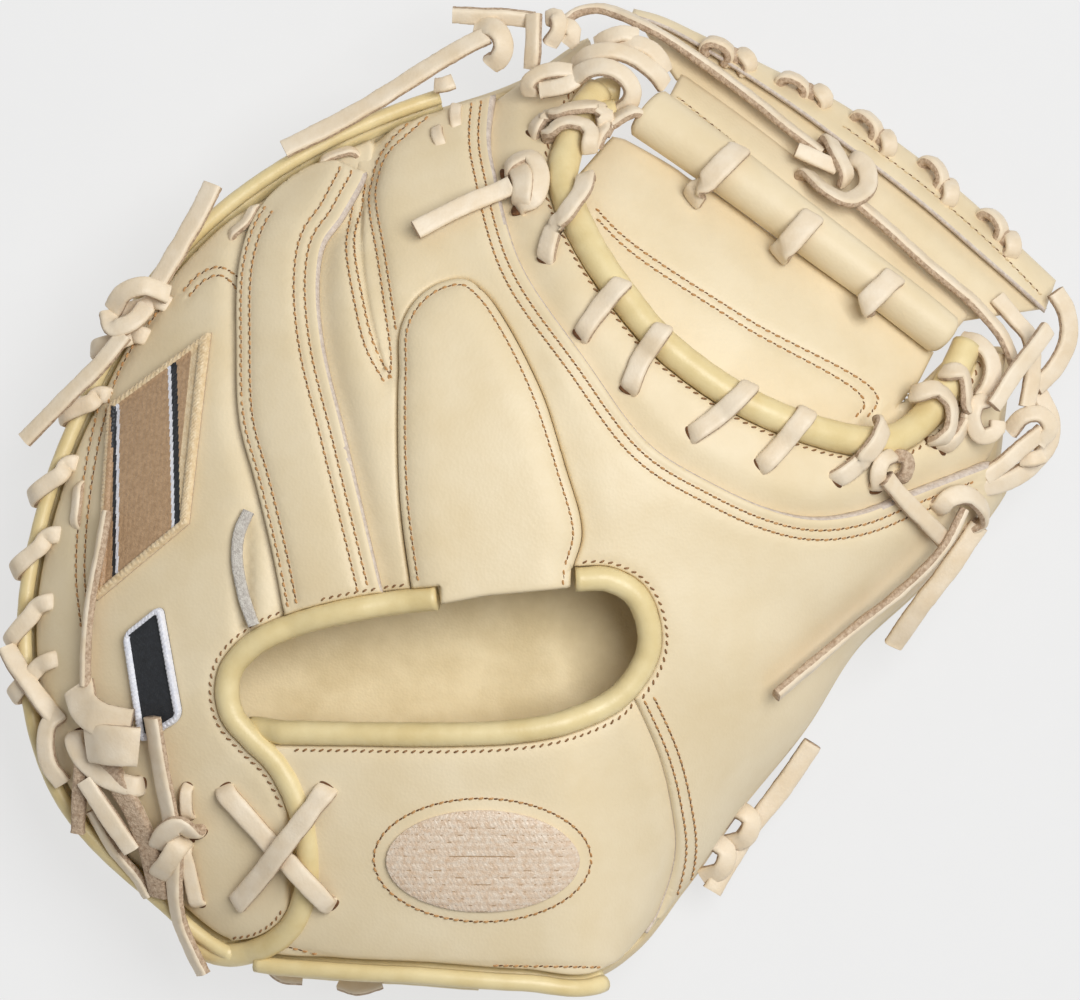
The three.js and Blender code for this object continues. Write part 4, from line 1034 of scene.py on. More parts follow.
# The web's padded bar: widest at the finger tips, its ends cut square
BAR_HALF = (8.1, 7.4, 6.7, 6.2, 5.8)
BAR_HIGH = 6.4
BAR_LIFT = -1.5
bar = Bundle()
bar_path = spaced(bar_axis, 1.0)
bar_ground = over_plan(bar_path[:, 0], bar_path[:, 1], BAR_LIFT)
bar_share = np.linspace(0, 1, len(bar_path))
from_end = np.minimum(np.arange(len(bar_path)), np.arange(len(bar_path))[::-1]) * 1.0
closing = 1 - 0.16 * (1 - ramp(from_end / 1.2)) ** 2
turn = np.linspace(0, 2 * math.pi, 40, endpoint=False)
bar_wide = np.interp(bar_share, np.linspace(0, 1, len(BAR_HALF)), BAR_HALF) * closing
swell = 1 + soft_noise(len(bar_path), 12, 0.008)
bar_section = np.stack([
    np.outer(bar_wide * swell, np.cos(turn)), np.outer(BAR_HIGH * closing * swell, np.sin(turn)),
], -1)
sweep(bar, bar_ground, back_normal(bar_path[:, 0], bar_path[:, 1]), bar_section)
padded_bar = bar.piece("bar_leather", [cowhide], ["web_bar"], "shell_leather")

# Laces. A lace's ends dive into slots where its row says so; lean turns its broad side over.
DIVE = 2.6  # length over which an end turns down
DIVE_DEPTH = 3.4
SLOT_HALF = 1.15
SOFTEN = 8  # points of a route over which its climb over a bar is evened
# Dark plugs of painted shade in the slots where lace ends go down
slots = Bundle()


def round_over(line, wide, high, base):
    """Lift of a lace where it has to climb over a round bar along a line."""
    gap = 1.7  # half a lace's thickness, and air

    def climb(spots, width):
        way = np.gradient(spots[:, :2], axis=0)
        way /= np.linalg.norm(way, axis=1, keepdims=True)
        sides = np.stack([
            side_of(line, spots[:, 0] - way[:, 1] * reach, spots[:, 1] + way[:, 0] * reach)
            for reach in (-width / 2, 0, width / 2)
        ])
        over = sides.min(0) * sides.max(0) < 0
        near = np.where(over, 0, np.abs(sides).min(0))
        run = np.minimum(near / (wide + gap), 1)
        return np.where(run < 1, base + (high + gap) * np.sqrt(1 - run**2), -99)
    return climb


# A bar lace lies on the panel, rises over the bar and goes down at its strip: distance from the
# bar's axis, positive towards the strip, and lift over the back
BAR_WRAP = np.array([
    [-13, -4.6], [-9.5, -2], [-6.5, 3], [-3.5, 5.6], [0, 6.5], [3.5, 5.7], [5.5, 3.4], [8, -1],
])


def over_bar(spots, width):
    return np.interp(side_of(bar_axis, spots[:, 0], spots[:, 1]), BAR_WRAP[:, 0], BAR_WRAP[:, 1])


OVER = {
    "collar": round_over(collar_line, COLLAR_RADIUS, COLLAR_RADIUS, -0.9),
    "bar": over_bar,
    "cross": round_over(tab_centre, ROLL_RADIUS, ROLL_RADIUS, -0.9),
}


def soften(values, reach):
    kernel = np.hanning(2 * reach + 3)[1:-1]
    padded = np.pad(values, reach, mode="edge")
    return np.convolve(padded, kernel / kernel.sum(), "valid")


def laid_route(route, width, over):
    """Centres and upward directions of a lace on the back, which keeps its places in the plan."""
    lift, spots = route[:, 2], route[:, :2]
    for _ in range(3):
        if over:
            lift = np.maximum(route[:, 2], OVER[over](spots, width))
        spots = route[:, :2] - back_normal(*spots.T)[:, :2] * lift[:, None]
    if over:
        lift = soften(lift, SOFTEN)
    return on_back(*spots.T, lift), back_normal(*spots.T), lift


def dip_of(along, dives):
    """How far a lace's ends turn down at each length along it."""
    dip = np.zeros(len(along))
    for end, place in zip(dives, (along, along[-1] - along)):
        share = 1 - ramp(place / DIVE)
        dip -= end * DIVE_DEPTH * (1 - np.sqrt(np.maximum(1 - share**2, 0)))
    return dip


def stations(length):
    """Places along a lace, which crowd at its ends, where it turns down."""
    near_end = np.array([0, 0.08, 0.25, 0.55, 1, 1.6, 2.3])
    between = np.arange(3.2, max(length - 3.2, 3.3), 0.9)
    return np.unique(np.clip(np.concatenate([near_end, between, length - near_end[::-1]]), 0, length))


def lace(bundle, x, y, third, width=LACE_WIDTH, lean=0.0, dives=(0, 0), free=False, over=None,
         thick=LACE_THICK, dark=True):
    """One stretch of lace through points of the plan: its third row is the lift over the back, or
    the height above the table where it hangs free."""
    lean = np.broadcast_to(np.asarray(lean, float), len(x))
    route = smooth(np.column_stack([x, y, third, lean * 4]), 0.5)
    lean = route[:, 3] / 4
    if free:
        centres, ups, lift = route[:, :3], np.tile([0.0, 0.0, 1.0], (len(route), 1)), route[:, 2]
    else:
        centres, ups, lift = laid_route(route, width, over)
    _, side, up = frames(centres, ups)
    lengths = np.linalg.norm(np.diff(centres, axis=0), axis=1)
    along = np.concatenate([[0], np.cumsum(lengths)])
    steps = stations(along[-1])

    def at(values):
        return np.stack([np.interp(steps, along, column) for column in values.T], -1)

    path = at(centres + up * dip_of(along, dives)[:, None])
    side, lean = at(side), at(lean[:, None])
    way = np.gradient(path, axis=0)
    way /= np.maximum(np.linalg.norm(way, axis=1, keepdims=True), 1e-9)
    up = np.cross(side, way)
    wide = 1 + soft_noise(len(path), 6, 0.03)
    high = 1 + soft_noise(len(path), 5, 0.05)
    section = thong_section(width, thick)[None] * np.stack([wide, high], -1)[:, None]
    section = section + seed.normal(0, 0.035, section.shape)
    across, upward = section[..., 0], section[..., 1]
    turned = np.stack([
        np.cos(lean) * across - np.sin(lean) * upward, np.sin(lean) * across + np.cos(lean) * upward,
    ], -1)
    tube(bundle, rings_of(path, side, up, turned), THONG_LOOKS, 1)
    for end, index, near in zip(dives, (0, -1), (3, -4)):
        on_shell = not free and inside(web_notch, route[[index], 0], route[[index], 1])[0] < -1
        if end and dark and on_shell:
            slot_under(centres[index], ups[index], lift[index], way[near], width)


def slot_under(base, normal, lift, ahead, width):
    """A dark plug in the slot that an end of a lace goes down into: painted shade."""
    flat = ahead - normal * (ahead @ normal)
    plug = np.stack([base - normal * (lift + 1), base - normal * (lift - 0.1)])
    sweep(slots, plug, np.tile(flat, (2, 1)), CIRCLE_20 * [width * 0.48, SLOT_HALF])


ring = np.linspace(0, 2 * math.pi, 20, endpoint=False) + math.pi / 20
CIRCLE_20 = np.stack([np.cos(ring), np.sin(ring)], -1)
middle_angle = ring + math.pi / 20
THONG_LOOKS = np.where(np.sin(middle_angle) > 0.3, 0, 1)


def thong_section(width, thick):
    """A thong's section: a rounded oblong whose broad side is a little domed."""
    c, s = np.cos(ring), np.sin(ring)
    return np.stack([
        width / 2 * np.sign(c) * np.abs(c) ** 0.42, thick / 2 * np.sign(s) * np.abs(s) ** 0.66,
    ], -1)


# Leans: flat, a thong on its back, and how far one is turned so that a cut side shows beside its
# face, on the right of its way where the lean is positive
FLAT = 0.0
NAP_UP = math.pi
NONE, BOTH = (0, 0), (1, 1)
# Laces on the back: lace, width, lean, ends that dive, x, y, lift over the back
LAID = [
    ("collar_lace_1", 5.2, 0.5, BOTH, [-2.2, 0.6, 5.4, 10.6, 14.7, 17.1, 17.4],
     [99.6, 102.6, 105, 106, 106.2, 104.5, 102], [1.2, 1.6, 1.8, 1.6, 1.4, 0.4, -2]),
    ("collar_lace_2", 4.4, 0.4, BOTH, [1.6, 4.7, 8.5, 11.9, 13.7, 13],
     [98.9, 101, 102, 101, 98.9, 95.9], [1.2, 1.6, 1.6, 1, 0, -3]),
    ("collar_lace_2", 4.8, 0.5, BOTH, [15.4, 18.5, 21.9, 26.4], [98.6, 101, 103.4, 105.8],
     [-4.5, -1.6, 1, 4]),
    ("collar_lace_3", 5.4, 0.35, BOTH, [1.3, 3.6, 8, 11.4, 12.4], [65.2, 72.4, 78.4, 83.4, 88],
     [1.4, 1.6, 1.6, -1, -5]),
    ("collar_lace_4", 5.6, 0.35, BOTH, [11.2, 14.3, 18.3, 22.4], [44.6, 48.9, 54.2, 58.8],
     [1.4, 1.6, 1.6, -3]),
    ("collar_lace_5", 5.6, 0.35, BOTH, [24, 26.8, 30.6, 33.4], [29.8, 37, 42.8, 46.6],
     [1.4, 1.6, 1.6, -3]),
    ("collar_lace_6", 5.6, 0.35, BOTH, [40.8, 46.6, 53, 56.6], [17.6, 21.6, 27.3, 31],
     [1.4, 1.6, 1.6, -3]),
    ("collar_lace_7", 5.6, 0.35, BOTH, [59.6, 64.3, 69, 72.2], [9.2, 14.3, 20, 24],
     [1.4, 1.6, 1.6, -3]),
    ("collar_lace_8", 5.6, -0.4, BOTH, [80, 85.4, 90, 92.8], [5.6, 9.8, 15, 20.8],
     [1.4, 1.6, 1.6, -3]),
    ("collar_lace_9", 5.0, 0.6, BOTH, [101.7, 106.2, 110, 111.1, 110.2, 107.9],
     [28.5, 29.8, 27.1, 23.1, 18.6, 15.5], [-5, -2, 0, 0.6, 1.4, 1.4]),
    ("collar_lace_9", 5.0, 0.6, BOTH, [110.2, 113.8, 115.1, 115.1, 112.9, 109.3],
     [34.7, 34.3, 29.8, 22.7, 17.3, 14.1], [-5, -2, 0, 1, 1.8, 1.6]),
    ("bar_lace_1", 6.5, 0.15, BOTH, [41, 47.6, 54.1], [81.8, 88.6, 95.3], [-5.2, -5, -2]),
    ("bar_lace_2", 6.5, 0.15, BOTH, [64.2, 69.2, 74.1], [66, 71.6, 77.2], [-5.2, -5, -2]),
    ("bar_lace_3", 6.5, 0.15, BOTH, [86, 91, 96.1], [51.2, 56, 60.9], [-5.2, -5, -2]),
    ("web_lace", 5.4, 0.6, NONE, [5.3, 6, 9.8, 15.9, 21, 27.3, 34, 42.9, 51.9, 59.4, 68, 76.5],
     [125.9, 129.3, 132.7, 133.9, 132.6, 129.6, 126, 120, 113.5, 107.7, 100.6, 94.2],
     [3, 4, 4, 3.6, 3, 2.4, 1.6, 0.4, 0, 0, 0, 0]),
    ("web_lace", 5.4, 0.6, NONE, [86.5, 94.5, 106, 116, 120.9, 125, 127.6, 128.5],
     [80.2, 73.4, 63, 54.9, 50, 45, 39.7, 37], [0.2, 0, 0, -0.2, 0, 1, 2, 2]),
    ("web_lace", 5.2, 0.4, BOTH, [78.3, 80.5, 83.8], [98.6, 94, 87.6], [0.6, 2.8, 2.4]),
    ("web_lace", 5.4, 0.5, BOTH, [71.6, 77.4, 83.6, 88.6, 88.4, 84.6],
     [89.4, 83.8, 81.2, 84.6, 90.2, 93.4], [-2, 1.4, 2.4, 2.2, 1.8, 0]),
    ("web_lace", 4.4, 0.5, NONE, [80, 74.5, 69.4], [90.2, 92.6, 94.8], [1, 2, 2]),
    ("facing_knot", 5.4, 0.5, BOTH, [-9.5, -7.2, -2.6, 0, -1.6, -6.2],
     [88.4, 91, 92.4, 87.2, 81.2, 79.8], [1, 3.4, 4, 3.4, 2.6, 1.2]),
    ("facing_knot", 6.0, -0.3, BOTH, [-6, -4.6, -5.2], [91, 85.6, 80], [2.2, 4.8, 2.6]),
    ("facing_knot", 5.2, 0.4, NONE, [-7.6, -13, -22, -33.4], [85, 82.6, 78.4, 72.4],
     [4, 3.4, 3.4, 4.4]),
    ("thumb_knot_1", 4.4, 0.5, BOTH, [91.5, 90.8, 92.2, 95.6], [2.6, 7, 10.6, 12.2],
     [1.4, 3.4, 3.8, 3]),
    ("thumb_knot_1", 3.8, NAP_UP, BOTH, [95.6, 98.4, 98.9, 97.2], [12, 11.2, 8, 5], [2.4, 3, 3.2, 2]),
    ("thumb_knot_1", 4.9, 0.15, NONE, [93, 98.5, 104, 109.8], [5.8, -0.2, -5.8, -11.5],
     [4.8, 4.2, 3.6, 3.2]),
    ("thumb_knot_2", 5.4, 0.6, BOTH, [107.5, 110.6, 115.6, 119.6, 120.5, 117.3],
     [-3.3, 0.3, 1.2, -2, -5.1, -8.2], [1.4, 4, 5, 4.6, 3.4, 1.4]),
    ("thumb_knot_2", 5.4, 0.6, NONE, [114.6, 109, 97.8, 86, 74.4, 63.5],
     [-3, -13, -24.4, -33.6, -43.4, -52.5], [4.2, 5.6, 5.4, 4.6, 4.6, 5.4]),
    ("side_lace", 3.8, -0.8, NONE, [-116.7, -118.6, -121, -122.3, -122.7],
     [-3, -14, -26, -38, -50], [4, 4, 3.4, 3, 2.8]),
    ("heel_knot", 9.4, 0.2, NONE, [-124.4, -122.6, -118, -110], [-50.6, -56, -59.2, -61],
     [2.6, 5.4, 6.2, 4.4]),
    ("heel_knot", 11.2, FLAT, NONE, [-121.6, -118, -112, -108], [-65.4, -65.8, -66.2, -66.4],
     [5.2, 7.2, 7.2, 5]),
    ("heel_knot", 5.6, 0.4, BOTH, [-126.4, -124, -118, -108], [-63.4, -69, -74.4, -77.8],
     [2.4, 3.4, 3.4, 2]),
    ("heel_knot", 6.0, NAP_UP, NONE, [-118.6, -114.3, -109.2, -105.5, -103],
     [-64, -75.5, -84.8, -95.1, -107], [2.2, 2.6, 3.2, 2.8, 2.8]),
    ("heel_lace", 6.0, 0.5, NONE, [-99, -100.2, -101.9, -104.2], [-88, -82, -73, -58.4],
     [4, 4, 3.8, 4.6]),
    ("heel_lace", 5.7, -0.3, BOTH, [-103.4, -100.8, -97, -92.4], [-94, -89.4, -87.6, -91],
     [2.4, 6, 6.2, 2.2]),
    ("heel_lace", 5.8, 0.2, BOTH, [-97.2, -100.3, -103.6], [-92.6, -97.4, -102], [4.8, 5.4, 3]),
    ("heel_lace", 6.0, -0.5, NONE, [-98.4, -98.8, -97.8, -94.4, -91.2],
     [-95, -103.4, -113.2, -122, -128.4], [3.4, 3.6, 4, 5, 6]),
    ("heel_lace", 4.2, 0.4, BOTH, [-96.4, -94.4, -92.8], [-94, -102, -110], [2.6, 1.8, 1.4]),
    ("heel_lace", 3.4, 0.3, BOTH, [-95.4, -95.4, -95.2], [-77.4, -81.4, -86], [1.4, 1.8, 1.8]),
    ("heel_tails", 5.2, 0.2, NONE, [-122.9, -117, -110.2], [-75.5, -84.8, -94.6], [5, 4.8, 4.4]),
    ("heel_tails", 4.1, -0.4, NONE, [-121.4, -115.6, -109.2, -106], [-84, -94.4, -102.2, -107.4],
     [2, 2.2, 2.4, 2.6]),
    ("heel_tails", 3.9, NAP_UP + 0.3, NONE, [-123.8, -124.6, -125.2], [-69.8, -80, -90],
     [3.4, 3.8, 4.6]),
    ("cross_lace_under", 5.6, 0.3, BOTH, [-85.4, -71.4, -56.4], [-78, -93.6, -109.8],
     [1.4, 1.4, 1.4]),
    ("cross_lace_over", 5.8, 0.25, BOTH, [-82.4, -75, -69.5, -64, -57.2],
     [-109.6, -101, -93.6, -86.6, -77.6], [1.4, 3.4, 5, 3.8, 1.4]),
]
# Laces off the back: lace, width, lean, x, y, height
FREE = [
    ("heel_knot", 5.2, 0.4, [-144.6, -141, -136, -131.4], [-40, -46, -53, -59], [43, 45.6, 47.4, 48]),
    ("heel_knot", 5.0, -0.5, [-129.3, -132.8, -133.8, -132.8, -129.3],
     [-57.6, -60.5, -65.7, -71.9, -76.6], [48, 48.6, 48, 46.6, 45]),
    ("heel_lace", 4.6, 0.5, [-73.4, -70.3, -64.7], [-127, -129.6, -130.2], [22, 24, 24]),
    ("heel_lace", 4.6, 0.5, [-54.4, -49.7, -43.3], [-131.6, -133, -131.2], [22, 24, 24]),
    ("tip_knot", 4.8, -0.6, [-23.7, -16.7, -9.1, -1.5], [131.6, 131.2, 131, 130.1],
     [42, 42.4, 42.4, 41.6]),
    ("tip_knot", 4.5, -0.6, [-1.7, -1.7, -1.9, -2.3], [131.6, 126.7, 121.7, 116.8],
     [44.2, 45, 45, 44.2]),
    ("tip_knot", 5.2, -0.5, [-14, -19, -25.8, -33.7, -43.2, -56, -69.4],
     [125.9, 123.6, 119.8, 114.9, 108.9, 101.6, 95], [45, 45, 44.6, 44.2, 44, 44, 44.4]),
    ("tip_knot", 5.8, 0.5, [-17.1, -13.7, -11, -9.9, -11, -13.3],
     [127.8, 128.2, 126.3, 122.9, 119.8, 118.3], [42, 44.6, 46.4, 46.6, 45, 42.6]),
    ("tip_knot", 4.6, 0.5, [2.3, 4.5, 4.9, 2.6], [130.5, 131.2, 127.4, 123.6], [41.4, 43.6, 44.4, 42.6]),
    ("tip_knot", 4.6, 0.5, [4.5, 7.6, 9.1, 7.2], [127.4, 128.6, 125.9, 124], [41.4, 42.6, 42.8, 41.6]),
    ("tip_knot", 4.2, 0.3, [-28, -25.8, -23.5], [112.3, 112.6, 113.4], [43, 44.4, 44.2]),
    ("web_top_loop", 5.2, 0.6, [9.9, 13.3, 17.8, 23, 27.8, 31.9, 33.6],
     [117.5, 120.3, 121.3, 120.6, 118.2, 114.8, 112.4], [46, 49.6, 51, 50.6, 49.6, 48, 46]),
    ("web_top_loop", 4.8, 0.5, [21.6, 25.7, 29.8, 32.6, 33.6], [122.4, 123.4, 122, 118.9, 116.2],
     [45.6, 47, 47, 46.4, 44.6]),
    ("web_top_loop", 4.8, 0.5, [15.7, 18.5, 22.3, 26.4], [123.4, 125.1, 126.2, 125.5],
     [43, 45.4, 46, 45]),
    ("web_top_loop", 5.2, 0.6, [9.9, 13, 16.8, 20.5, 23.6, 25, 24.3, 22.3],
     [114.4, 116.3, 116.9, 115.8, 113.4, 110.3, 107.6, 105.5],
     [51, 54, 55.4, 55.6, 55, 54.4, 53, 51]),
    ("web_top_loop", 4.6, 0.6, [-2.5, -3.2, -0.1, 4.4, 8.5], [110, 112.7, 115.3, 116.3, 115.8],
     [47, 49.4, 50, 50.4, 50]),
    ("web_top_loop", 4.8, 0.2, [0.2, 4.7, 8.5, 10.2], [110.8, 111.5, 112.7, 114.8],
     [50, 51.4, 51.6, 50.6]),
    ("edge_tail_1", 4.7, -0.5, [-112.4, -119, -126.2, -139.6], [44.8, 36.6, 29.6, 16.2],
     [50.4, 50.6, 49.8, 46]),
    ("edge_tail_1", 5.0, 0.3, [-117, -115.4, -110.4, -106.4], [50.6, 46.6, 48, 52.2],
     [46, 49.6, 50.6, 48]),
    ("edge_tail_2", 5.6, -0.5, [-88.6, -92.4, -97.6, -103.8], [85.4, 77.6, 68.4, 58],
     [45, 46.4, 48, 48.4]),
    ("edge_tail_2", 5.4, 0.3, [-115.6, -112.6, -107, -100.6], [51.6, 56, 57.8, 55.6],
     [46, 50, 51.6, 49]),
    ("thumb_tail", 4.6, -0.3, [120.5, 117.8, 116.9, 119.1, 123.2, 123.6],
     [27.1, 25.8, 21.8, 17.3, 18.6, 21.3], [53, 55, 55, 53.6, 52.6, 52]),
    ("thumb_tail", 5.0, 0.6, [137.5, 133.5, 128.5, 122.3], [46.4, 41, 34.7, 25.3], [46, 50, 54, 57]),
    ("thumb_tail", 5.2, 0.6, [114.2, 118.2, 121.4, 122.3, 120.9, 119.1],
     [43.3, 42.4, 39.2, 34.7, 30.3, 27.6], [46, 49, 50.6, 51.4, 52, 52]),
    ("rim_loop_1", 5.4, 0.6, [140.2, 143.3, 143.8, 140.2, 134.8], [56.7, 51.3, 43.7, 36.1, 30.7],
     [31, 30, 29, 30, 33]),
    ("rim_loop_1", 4.8, 0.5, [124.1, 129.4, 133, 133.6, 132.1], [54.9, 48.6, 44.1, 34, 25.3],
     [36, 37, 38, 38.6, 39]),
    ("rim_loop_2", 5.6, 0.6, [135.7, 138.8, 138.8, 135.3, 129.4, 122.3, 115.1],
     [28.9, 22.7, 16.4, 11, 6.5, 3.9, 3], [30, 29.6, 30, 32, 36, 41, 43]),
    ("rim_loop_2", 4.8, 0.5, [127.6, 131.2, 136.2, 138.4, 135.3], [18.6, 22.7, 23.1, 19.5, 15.5],
     [38, 40, 39.6, 38.6, 37.6]),
    ("rim_loop_2", 4.8, 0.5, [136.2, 131.2, 125.9, 120.5], [18.6, 14.6, 10.1, 6.1],
     [38, 40, 42, 43]),
    ("rim_loop_2", 4.2, 0.2, [130.8, 133.5, 136.6], [11, 11, 11.9], [37, 38, 36.6]),
    ("short_tail", 5.4, 0.3, [119, 111.1, 103.3, 96.3], [-6.8, -18.5, -28.8, -39.4],
     [42, 40, 36, 28]),
    ("thumb_edge_lace", 5.4, 0.2, [74.5, 66, 56, 47], [-66.5, -79, -92, -107], [20, 17, 16, 16]),
    ("thumb_edge_lace", 5.4, 0.4, [49.4, 53, 57.6, 56.4, 51.6], [-88, -84.4, -87.2, -92, -94],
     [16, 19.6, 20.4, 19.6, 16]),
    ("thumb_edge_lace", 5.4, 0.4, [42.4, 46, 51, 49.6, 44.8], [-96.6, -93, -96, -101, -103],
     [15, 18.6, 19.4, 18.6, 15]),
]
LACE_LOOKS = [lace_face, lace_nap]
for name in dict.fromkeys(row[0] for row in LAID + FREE):
    bundle = Bundle()
    over = name.split("_")[0] if name.split("_")[0] in OVER else None
    for _, width, lean, dives, x, y, lift in (row for row in LAID if row[0] == name):
        lace(bundle, x, y, lift, width, lean, dives, over=over)
    for _, width, lean, x, y, height in (row for row in FREE if row[0] == name):
        lace(bundle, x, y, height, width, lean, free=True)
    bundle.piece(f"{name}_thong", LACE_LOOKS, [name], "lace_leather")

# Lacing of the little finger's edge: loops over the binding, joined by a run under it
EDGE_LOOPS = [
    [157.5, 152.4, 3], [161.8, 157.6, 3], [170.5, 166.5, 1.6], [180.2, 175.6, 1.2],
    [188.1, 184.2, 2.4], [195.5, 191.8, 3.8], [200.7, 198.2, 4.9],
]
# One loop: share of its way round the edge, how far past the edge, and how far below the seam
LOOP = np.array([
    [0, 0.8, 9], [0.04, 4.6, 8], [0.1, 6.8, 4], [0.26, 6, -0.8], [0.5, 3.4, -2.6], [0.72, 0.9, -3.6],
])
# Its end on the leather: share of the way, share of its reach over the leather, and lift
LOOP_END = np.array([[0.9, 0.5, 1.6], [1.0, 1.0, 0.9], [1.04, 1.25, -1.8]])


def edge_lace(bundle, points, ups, width):
    route = smooth(np.hstack([points, ups]), 0.9)
    path, ups = route[:, :3], route[:, 3:]
    _, side, up = frames(path, ups)
    wide = 1 + soft_noise(len(path), 6, 0.03)
    section = thong_section(width, LACE_THICK)[None] * wide[:, None, None]
    tube(bundle, rings_of(path, side, up, section), THONG_LOOKS, 1)


edging = Bundle()
for outer, inner, inward in EDGE_LOOPS:
    points = [on_edge(outer + (inner - outer) * t, past, drop) for t, past, drop in LOOP]
    for t, share, lift in LOOP_END:
        x, y, _ = on_edge(outer + (inner - outer) * t, -inward * share, 0)
        points.append(on_back(x, y, lift)[0])
    outward = np.array([math.cos(math.radians(inner)), math.sin(math.radians(inner)), 0])
    # The thong's face turns from the table, past the outside, to the back and down into its slot
    ups = [outward * (1 - i / 5) + [0, 0, 0.15 + i / 3] for i in range(len(points))]
    ups[0] = np.array([0, 0, -1.0])
    ups[-1] = -outward + [0, 0, 1.0]
    edge_lace(edging, np.array(points), np.array(ups), 4.8)
run = on_edge(np.arange(150, 206, 2.0), 0.8, 9)
edge_lace(edging, run, run * [1, 1, 0] / 130, 4.6)
edging.piece("edge_loops", LACE_LOOKS, ["edge_lacing"], "lace_leather")

# Lacing of the web's rim. Each loop shows as a long lobe along the rim and a short one that
# turns in, with the thong's napped back between them where it twists.
RIM_LOBES = [
    [[49, 123.2], [56.2, 120]], [[69.6, 113.6], [77, 110.1]], [[89.8, 102.5], [94.7, 97.3]],
    [[108.1, 89.5], [111.7, 83.9]], [[124.2, 75.4], [128.6, 69.6]],
]
# Steps along the rim, steps outward and lifts of each stretch
LONG_LOBE = [[-5, -2.6, 1.4, 4.4], [-1, 0.7, 0.8, -0.8], [-0.4, 1.8, 2, 0.2]]
SHORT_LOBE = [[-3.6, -0.4, 2.8], [1.4, 0.6, -1.8], [-0.2, 1.9, -0.2]]
TWIST = [[2, 4.2, 6], [0.4, 0.1, -0.2], [0.6, 1, 0.6]]
rim = Bundle()
for lobes in RIM_LOBES:
    long_centre, short_centre = np.array(lobes)
    way = (short_centre - long_centre) / np.linalg.norm(short_centre - long_centre)
    out = np.array([-way[1], way[0]])
    for centre, stretch, width, lean in (
        (long_centre, LONG_LOBE, 4.7, 0.35), (short_centre, SHORT_LOBE, 4.7, -0.3),
        (long_centre, TWIST, 3.6, NAP_UP),
    ):
        forward, outward, lift = stretch
        rows = centre + np.outer(forward, way) + np.outer(outward, out)
        lace(rim, rows[:, 0], rows[:, 1], lift, width, lean, BOTH, dark=False)
# The run that joins them is hidden under the rim
hidden = beside(rim_outer, -2.5)[12:-6:8]
lace(rim, hidden[:, 0], hidden[:, 1], np.full(len(hidden), -7.6), 2.8, FLAT, thick=3.0)
rim.piece("rim_loops", LACE_LOOKS, ["rim_lacing"], "lace_leather")
# The dark plugs of the lace slots, painted shade where the ends go down
slots.piece("lace_slot_shade", [hole_shade], slot="patch_cloth")


# Patches: fine grids over the back, whose material is chosen thread by thread
def patch(name, corners, size, height, look_of, looks, node_name, step=0.27, round_corner=0.01):
    """A patch between four corners of the plan, lower left, lower right, upper left and upper
    right; u and v are millimetres from its left side and from its foot."""
    low_left, low_right, up_left, up_right = (np.array(corner, float) for corner in corners)
    u, v = np.meshgrid(*(np.linspace(0, span, int(span / step) + 1) for span in size))
    # The corners of the grid are drawn in to a quarter of a circle
    side = round_corner - np.minimum(u, size[0] - u)
    end = round_corner - np.minimum(v, size[1] - v)
    cornered = (side > 0) & (end > 0)
    pull = np.where(cornered, np.maximum(side, end) / np.maximum(np.hypot(side, end), 1e-6), 1)
    shift_u = np.where(cornered, side * (1 - pull), 0) * np.where(u < size[0] / 2, 1, -1)
    shift_v = np.where(cornered, end * (1 - pull), 0) * np.where(v < size[1] / 2, 1, -1)
    a, b = ((u + shift_u) / size[0])[..., None], ((v + shift_v) / size[1])[..., None]
    plan = (low_left * (1 - a) + low_right * a) * (1 - b) + (up_left * (1 - a) + up_right * a) * b
    x, y = plan[..., 0].ravel(), plan[..., 1].ravel()
    top = on_back(x, y, height(u, v).ravel())
    bottom = on_back(x, y, np.full(len(x), 0.1))
    grid_piece(name, top, bottom, u.shape, look_of(u, v), looks, node_name)


def grid_piece(name, top, bottom, shape, look, looks, node_name):
    rows, columns = shape
    index = np.arange(rows * columns).reshape(shape)
    quads = np.stack([index[:-1, :-1], index[:-1, 1:], index[1:, 1:], index[1:, :-1]], -1).reshape(-1, 4)
    a, b, d = top[quads[0][0]], top[quads[0][1]], top[quads[0][3]]
    if np.cross(b - a, d - a)[2] < 0:
        quads = quads[:, ::-1]
    count = rows * columns
    border = np.concatenate([index[0], index[1:, -1], index[-1, -2::-1], index[-2:0:-1, 0]])
    after = np.roll(border, -1)
    directed = set(map(tuple, np.stack([quads, np.roll(quads, -1, 1)], -1).reshape(-1, 2).tolist()))
    if (border[0], after[0]) not in directed:
        border, after = after, border
    walls = np.stack([after, border, border + count, after + count], -1)
    face_look = look[:-1, :-1].ravel()
    every = np.vstack([quads, quads[:, ::-1] + count, walls])
    face_look = np.concatenate([face_look, face_look, np.zeros(len(walls))])
    piece(name, np.vstack([top, bottom]), [every], looks, [node_name], "patch_cloth", face_look)


THREAD_PITCH = 1.1
EDGING = 2.4


def edging_of(u, v, size):
    """Distance from the patch's edge, and the run of the edging's threads along it."""
    from_side = np.minimum(u, size[0] - u)
    from_end = np.minimum(v, size[1] - v)
    return np.minimum(from_side, from_end), np.where(from_side < from_end, v, u)


def corded(rim, run, wide, high):
    """Satin edging: a soft cord with one ridge for each turn of the thread."""
    cord = high * np.sqrt(np.maximum(1 - ((rim - wide / 2) / (wide / 2)) ** 2, 0))
    ridges = 0.3 * np.abs(np.sin(math.pi * (run + 0.4 * rim) / THREAD_PITCH))
    return np.where(rim < wide, cord + ridges * ramp(rim / 0.5), 0)


SIDE_SIZE = (26.0, 52.5)
# Stripes of the side patch: where each starts and ends at the top, how far over its foot is, and
# its thread
STRIPES = [
    (21.4, 26, 0, 1), (1.3, 2.2, 3.4, 2), (2.2, 3, 3.4, 3), (15.2, 16, 6.2, 3), (16, 17.5, 6.2, 2),
]


